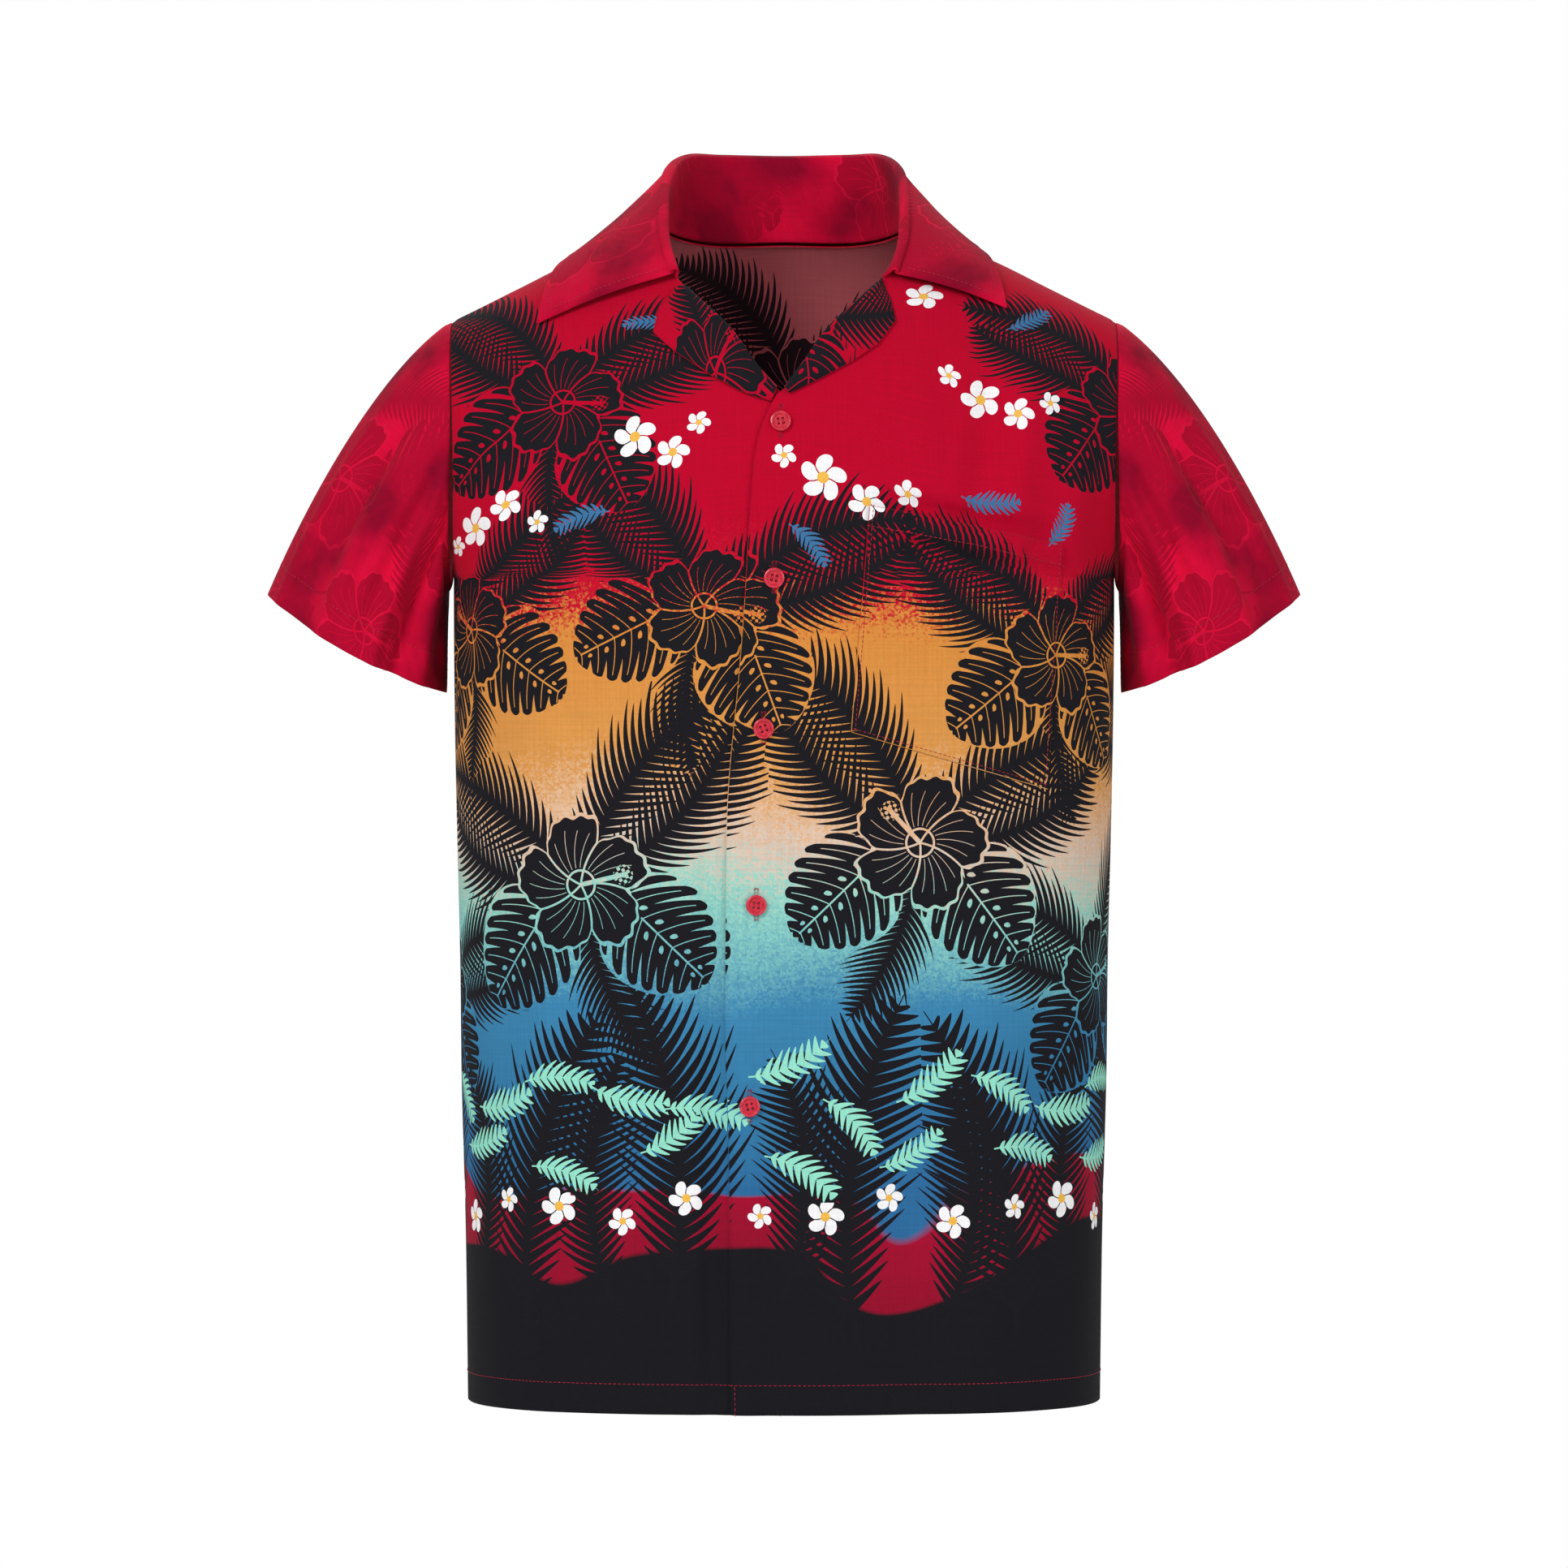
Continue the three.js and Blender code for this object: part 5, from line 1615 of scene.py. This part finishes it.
pocket_pattern = matched_pattern(pocket_grid, fronts["left"])
pocket_patch = sew_wall(
    "chest_pocket_patch", pocket_grid, pocket_normals, CLOTH, pocket_pattern,
    print_across(pocket_pattern, 0), (printed_face, printed_reverse))
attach(pocket_patch, "root")
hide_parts("pocket")


# Buttons: five four-hole shirt buttons of cast red resin, dished inside a raised rim, each sewn
# to the front beneath through a buttonhole in the lap.

BUTTON = {"radius": 6.35, "thickness": 2.8, "rim": 1.4, "round": 0.7, "segments": 60}
# The hollow's profile, in from the rim's inner edge: how far out of it, and how far below the top
BUTTON_DISH = [(0.25, 0.03), (0, 0.16), (-0.35, 0.45), (-0.7, 1.25)]
BUTTON_HOLE = {"radius": 0.85, "offset": 1.5, "segments": 14, "reach": 3}
BUTTON_SEAT = 0.25
BUTTON_PLACES = named_columns("x z turn", [
    (-2, -119, 8),
    (-6, -215.5, -12),
    (-12.5, -308, 20),
    (-17, -416.5, -5),
    (-21, -540, 14),
])


def turned_solid(profile, segments):
    """Points and faces of a solid turned about Z from a profile that starts and ends on the axis."""
    points = [(0, 0, profile[0][1])]
    for radius, height in profile[1:-1]:
        for segment in range(segments):
            turn = 2 * math.pi * segment / segments
            points.append((radius * math.cos(turn), radius * math.sin(turn), height))
    points.append((0, 0, profile[-1][1]))
    faces = []
    rings = len(profile) - 2
    for segment in range(segments):
        after = (segment + 1) % segments
        faces.append((0, 1 + after, 1 + segment))
        for ring in range(rings - 1):
            low, high = 1 + ring * segments, 1 + (ring + 1) * segments
            faces.append((low + segment, low + after, high + after, high + segment))
        top = 1 + (rings - 1) * segments
        faces.append((top + segment, top + after, len(points) - 1))
    return points, faces


def button_blank():
    """A button lying flat, front up, with its four holes drilled."""
    half, radius, rounding = BUTTON["thickness"] / 2, BUTTON["radius"], BUTTON["round"]
    corner = [math.radians(angle) for angle in (0, 30, 60, 90)]
    lower = [(radius - rounding * (1 - math.sin(a)), -half + rounding * (1 - math.cos(a))) for a in corner]
    upper = [(radius - rounding * (1 - math.cos(a)), half - rounding * (1 - math.sin(a))) for a in corner]
    dish = [(radius - BUTTON["rim"] + out, half - below) for out, below in BUTTON_DISH]
    profile = [(0, -half), *lower, *upper, *dish, (0, dish[-1][1])]
    points, faces = turned_solid(profile, BUTTON["segments"])
    blank_mesh = bpy.data.meshes.new("button_blank")
    blank_mesh.from_pydata([tuple(MM * part for part in point) for point in points], [], faces)
    blank = show("button_blank", blank_mesh)
    drill_points, drill_faces = [], []
    for right, up in ((1, 1), (1, -1), (-1, 1), (-1, -1)):
        bore, reach = BUTTON_HOLE["radius"], BUTTON_HOLE["reach"]
        drill = [(0, -reach), (bore, -reach), (bore, reach), (0, reach)]
        made, sides = turned_solid(drill, BUTTON_HOLE["segments"])
        start = len(drill_points)
        offset = BUTTON_HOLE["offset"]
        drill_points += [(MM * (x + right * offset), MM * (y + up * offset), MM * z) for x, y, z in made]
        drill_faces += [tuple(start + corner_index for corner_index in face) for face in sides]
    drill_mesh = bpy.data.meshes.new("button_drill")
    drill_mesh.from_pydata(drill_points, [], drill_faces)
    drills = show("button_drill", drill_mesh)
    cut = blank.modifiers.new("holes", "BOOLEAN")
    cut.object = drills
    cut.solver = "EXACT"
    drilled = bpy.data.meshes.new_from_object(blank.evaluated_get(bpy.context.evaluated_depsgraph_get()))
    bpy.data.objects.remove(blank)
    bpy.data.objects.remove(drills)
    return drilled


def clouded(tree, shader, scale, detail, stops):
    """Colour a shader from soft clouds through the piece."""
    place = add_node(tree, "ShaderNodeTexCoord").outputs["Object"]
    cloud = add_node(tree, "ShaderNodeTexNoise", {"Vector": place, "Scale": scale, "Detail": detail})
    ramp = add_node(tree, "ShaderNodeValToRGB", {0: cloud.outputs[0]})
    set_stops(ramp, stops)
    tree.links.new(ramp.outputs[0], shader.inputs["Base Color"])


# Cast polyester resin: glossy where it is turned, a little light goes into it, faintly clouded
button_resin, resin_tree, resin_shader = new_material("cast_polyester_resin")
clouded(resin_tree, resin_shader, scale=420.0, detail=2.0, stops=[(0.3, "#B5142C"), (0.7, "#D62B42")])
set_inputs(resin_shader, {
    "Roughness": 0.22,
    "IOR": 1.55,
    "Subsurface Weight": 0.08,
    "Subsurface Radius": (1.0, 0.25, 0.2),
    "Subsurface Scale": 0.0012,
})


def on_lap(x, z):
    """Middle of the cloth of the upper front at a place by the lap."""
    return body_point(FRONT, x, z, lap_lift(1, x))


drilled_button = button_blank()
button_frames = []
for number, row in enumerate(table_rows(BUTTON_PLACES), 1):
    x, z, reach = row["x"], row["z"], BUTTON["radius"]
    across = on_lap(x + reach, z) - on_lap(x - reach, z)
    upward = on_lap(x, z + reach) - on_lap(x, z - reach)
    outward = unit(np.cross(across, upward))
    across = unit(across)
    upward = np.cross(outward, across)
    centre = on_lap(x, z) + outward * (CLOTH / 2 + BUTTON_SEAT + BUTTON["thickness"] / 2)
    turn = math.radians(row["turn"])
    right = across * math.cos(turn) + upward * math.sin(turn)
    up = upward * math.cos(turn) - across * math.sin(turn)
    mesh = drilled_button.copy()
    local = np.empty(len(mesh.vertices) * 3)
    mesh.vertices.foreach_get("co", local)
    local = local.reshape(-1, 3)
    placed = local[:, :1] * right + local[:, 1:2] * up + local[:, 2:] * outward + centre * MM
    mesh.vertices.foreach_set("co", placed.ravel())
    mesh.materials.append(button_resin)
    mesh.update()
    button = show(f"shirt_button_{number}", mesh)
    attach(button, "root")
    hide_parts(f"button_{number}")
    button_frames.append({"centre": centre, "right": right, "up": up, "out": outward})


# Sewing: spun polyester thread, red to match the cloth. Lockstitch rows run round the hems, the
# pocket and the collar; buttonholes are worked in satin stitch and the buttons sewn in two bars.

LOCKSTITCH = {"Spacing": 3.0, "Length": 2.25, "Thickness": 0.5}
STITCH_LIFT = 0.1
HEM_STITCH = {"body": 18, "sleeve": 21, "front_edge": 2.2, "front_edge_points": 6}
POCKET_STITCH = {"edge": 2.2, "band": 12.5}
# Rows stay so many points off the collar's ends, and the end rows start on the fall's column
COLLAR_STITCH = {"edge": 6.0, "off_ends": 3, "fall_column": 6}
BUTTONHOLE = {"length": 18.6, "rise": 0.5, "slit": 0.5, "bar": 1.5, "pitch": 0.5, "thickness": 0.36,
              "lift": 0.12}
BAR_TACK = {"points": 9, "pitch": 0.34, "half_height": 0.5, "past_end": 0.4, "lift": 0.16}
BUTTON_BAR = {"points": 9, "arch": 0.34, "sunk": 0.5, "past_hole": 1.12, "thickness": 0.62}

sewing_thread, thread_tree, thread_shader = new_material("spun_polyester_thread")
clouded(thread_tree, thread_shader, scale=2600.0, detail=1.0, stops=[(0.35, "#8E1229"), (0.65, "#B92340")])
set_inputs(thread_shader, {"Roughness": 0.6, "Specular IOR Level": 0.3})


def thread_tree_of(name, sizes):
    """A Geometry Nodes tree with a seam going in, stitches coming out and named sizes."""
    tree = bpy.data.node_groups.new(name, "GeometryNodeTree")
    tree.interface.new_socket("Seam", in_out="INPUT", socket_type="NodeSocketGeometry")
    for label in sizes:
        tree.interface.new_socket(label, in_out="INPUT", socket_type="NodeSocketFloat")
    tree.interface.new_socket("Thread", in_out="OUTPUT", socket_type="NodeSocketGeometry")
    entry = add_node(tree, "NodeGroupInput")
    seam = add_node(tree, "GeometryNodeMeshToCurve", {0: entry.outputs["Seam"]}).outputs[0]
    return tree, entry, seam


def finish_thread(tree, made):
    """Make the stitches real, give them their material and hand them out of the tree."""
    real = add_node(tree, "GeometryNodeRealizeInstances", {0: made.outputs[0]}).outputs[0]
    finished = add_node(tree, "GeometryNodeSetMaterial", {"Geometry": real, "Material": sewing_thread})
    add_node(tree, "NodeGroupOutput", {0: finished.outputs[0]})


lockstitch, entry, seam = thread_tree_of("lockstitch_row", LOCKSTITCH)
spacing, length, thickness = [entry.outputs[label] for label in LOCKSTITCH]
row = add_node(lockstitch, "GeometryNodeResampleCurve", {"Curve": seam, "Length": spacing}, mode="LENGTH")
tangent = add_node(lockstitch, "GeometryNodeInputTangent").outputs[0]
turned = add_node(lockstitch, "FunctionNodeAlignRotationToVector", {"Vector": tangent}, axis="Z").outputs[0]
ball = add_node(
    lockstitch, "GeometryNodeMeshUVSphere", {"Segments": 6, "Rings": 4, "Radius": 0.5}).outputs[0]
size = add_node(lockstitch, "ShaderNodeCombineXYZ", {0: thickness, 1: thickness, 2: length}).outputs[0]
finish_thread(lockstitch, add_node(lockstitch, "GeometryNodeInstanceOnPoints", {
    "Points": row.outputs[0], "Instance": ball, "Rotation": turned, "Scale": size}))

satin, entry, seam = thread_tree_of("satin_thread", ["Thickness"])
thickness = entry.outputs["Thickness"]
profile = add_node(satin, "GeometryNodeCurvePrimitiveCircle", {"Resolution": 6, "Radius": 0.5}).outputs[0]
slim = add_node(satin, "ShaderNodeCombineXYZ", {0: thickness, 1: thickness, 2: thickness}).outputs[0]
round_thread = add_node(satin, "GeometryNodeTransform", {"Geometry": profile, "Scale": slim}).outputs[0]
finish_thread(satin, add_node(satin, "GeometryNodeCurveToMesh", {
    "Curve": seam, "Profile Curve": round_thread, "Fill Caps": True}))


def sew(name, rows, tree, sizes):
    """Run a row of thread along each line of points and keep the result as a plain mesh."""
    points, edges = [], []
    for line in rows:
        start = len(points)
        points += [tuple(point) for point in np.asarray(line) * MM]
        edges += [(start + step, start + step + 1) for step in range(len(line) - 1)]
    path = bpy.data.meshes.new(name + "_path")
    path.from_pydata(points, edges, [])
    holder = show(name + "_path", path)
    worked = holder.modifiers.new("thread", "NODES")
    worked.node_group = tree
    for item in tree.interface.items_tree:
        if item.name in sizes:
            worked[item.identifier] = sizes[item.name] * MM
    made = bpy.data.meshes.new_from_object(holder.evaluated_get(bpy.context.evaluated_depsgraph_get()))
    made.name = name
    bpy.data.objects.remove(holder)
    made.polygons.foreach_set("use_smooth", np.ones(len(made.polygons), bool))
    thread = show(name, made)
    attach(thread, "root")


def inset(grid, normals, distance, lift):
    """A line across a grid, at a distance along the cloth from its first row, lifted off it."""
    run = run_along(grid, 0)
    raised = grid + normals * lift
    return np.stack([
        [np.interp(distance, run[:, column], raised[:, column, axis]) for axis in range(3)]
        for column in range(grid.shape[1])
    ])


def sideways(grid):
    """A grid with its rows and columns exchanged."""
    return grid.transpose(1, 0, 2)


body_lift = CLOTH / 2 + STITCH_LIFT
hem_rows = [inset(back_tucked, back_normals, HEM_STITCH["body"], body_lift)[1:-1]]
for front in fronts.values():
    hem_rows.append(inset(front["grid"], front["normals"], HEM_STITCH["body"], body_lift)[:-1])
    edge_line = inset(
        sideways(front["grid"]), sideways(front["normals"]), HEM_STITCH["front_edge"], body_lift)
    hem_rows.append(edge_line[:HEM_STITCH["front_edge_points"]])
sew("hem_stitching", hem_rows, lockstitch, LOCKSTITCH)

sleeve_rows = []
for sleeve in sleeves.values():
    line = inset(sleeve["grid"][::-1], sleeve["normals"][::-1], HEM_STITCH["sleeve"], body_lift)
    sleeve_rows.append(np.concatenate([line, line[:1]]))
sew("sleeve_hem_stitching", sleeve_rows, lockstitch, LOCKSTITCH)

edge, band = POCKET_STITCH["edge"], POCKET_STITCH["band"]
pocket_sides = sideways(pocket_grid), sideways(pocket_normals)
sew("pocket_stitching", [
    inset(pocket_grid, pocket_normals, edge, body_lift)[1:-1],
    inset(*pocket_sides, edge, body_lift)[1:],
    inset(pocket_sides[0][::-1], pocket_sides[1][::-1], edge, body_lift)[1:],
    inset(pocket_grid[::-1], pocket_normals[::-1], band, body_lift),
], lockstitch, LOCKSTITCH)

collar_lift = COLLAR_CLOTH / 2 + STITCH_LIFT
edge, off_ends = COLLAR_STITCH["edge"], COLLAR_STITCH["off_ends"]
fall_from = sum(COLLAR_CELLS["across"][:COLLAR_STITCH["fall_column"]]) + off_ends
along_edge = inset(sideways(collar_grid)[::-1], sideways(collar_normals)[::-1], edge, collar_lift)
collar_rows = [along_edge[off_ends:-off_ends]]
for step in (1, -1):
    end_row = inset(collar_grid[::step], collar_normals[::step], edge, collar_lift)
    collar_rows.append(end_row[fall_from:-off_ends])
sew("collar_stitching", collar_rows, lockstitch, LOCKSTITCH)


def satin_row(across, z, lift):
    """A line of satin stitch on the lap, lifted off the cloth's middle."""
    return body_point(FRONT, across, z, CLOTH / 2 + lift + lap_lift(1, across))


satin_rows, bar_rows = [], []
floor_lift = BUTTON["thickness"] / 2 - BUTTON_DISH[-1][1]
for place, seat in zip(table_rows(BUTTON_PLACES), button_frames):
    top = BUTTONHOLE["length"] / 2 + BUTTONHOLE["rise"]
    heights = np.arange(top, top - BUTTONHOLE["length"], -BUTTONHOLE["pitch"])
    for hand in (-1, 1):
        near = BUTTONHOLE["slit"] / 2
        stitch = np.where(np.arange(len(heights)) % 2, near, near + BUTTONHOLE["bar"])
        satin_rows.append(satin_row(place["x"] + hand * stitch, place["z"] + heights, BUTTONHOLE["lift"]))
    for end in (heights[0] + BAR_TACK["past_end"], heights[-1] - BAR_TACK["past_end"]):
        steps = np.arange(BAR_TACK["points"])
        across = place["x"] + (steps - BAR_TACK["points"] // 2) * BAR_TACK["pitch"]
        z = place["z"] + end + np.where(steps % 2, 1, -1) * BAR_TACK["half_height"]
        satin_rows.append(satin_row(across, z, BAR_TACK["lift"]))
    share = np.linspace(0, 1, BUTTON_BAR["points"])[:, None]
    ends = (share == 0) | (share == 1)
    arch = BUTTON_BAR["arch"] * np.sqrt(np.sin(np.pi * share))
    rise = floor_lift + arch - BUTTON_BAR["sunk"] * ends
    for hand in (-1, 1):
        offset = BUTTON_HOLE["offset"]
        middle = seat["centre"] + seat["right"] * hand * offset
        along = offset * BUTTON_BAR["past_hole"] * (1 - 2 * share)
        bar_rows.append(middle + seat["up"] * along + seat["out"] * rise)
sew("buttonhole_stitching", satin_rows, satin, {"Thickness": BUTTONHOLE["thickness"]})
sew("button_thread", bar_rows, satin, {"Thickness": BUTTON_BAR["thickness"]})
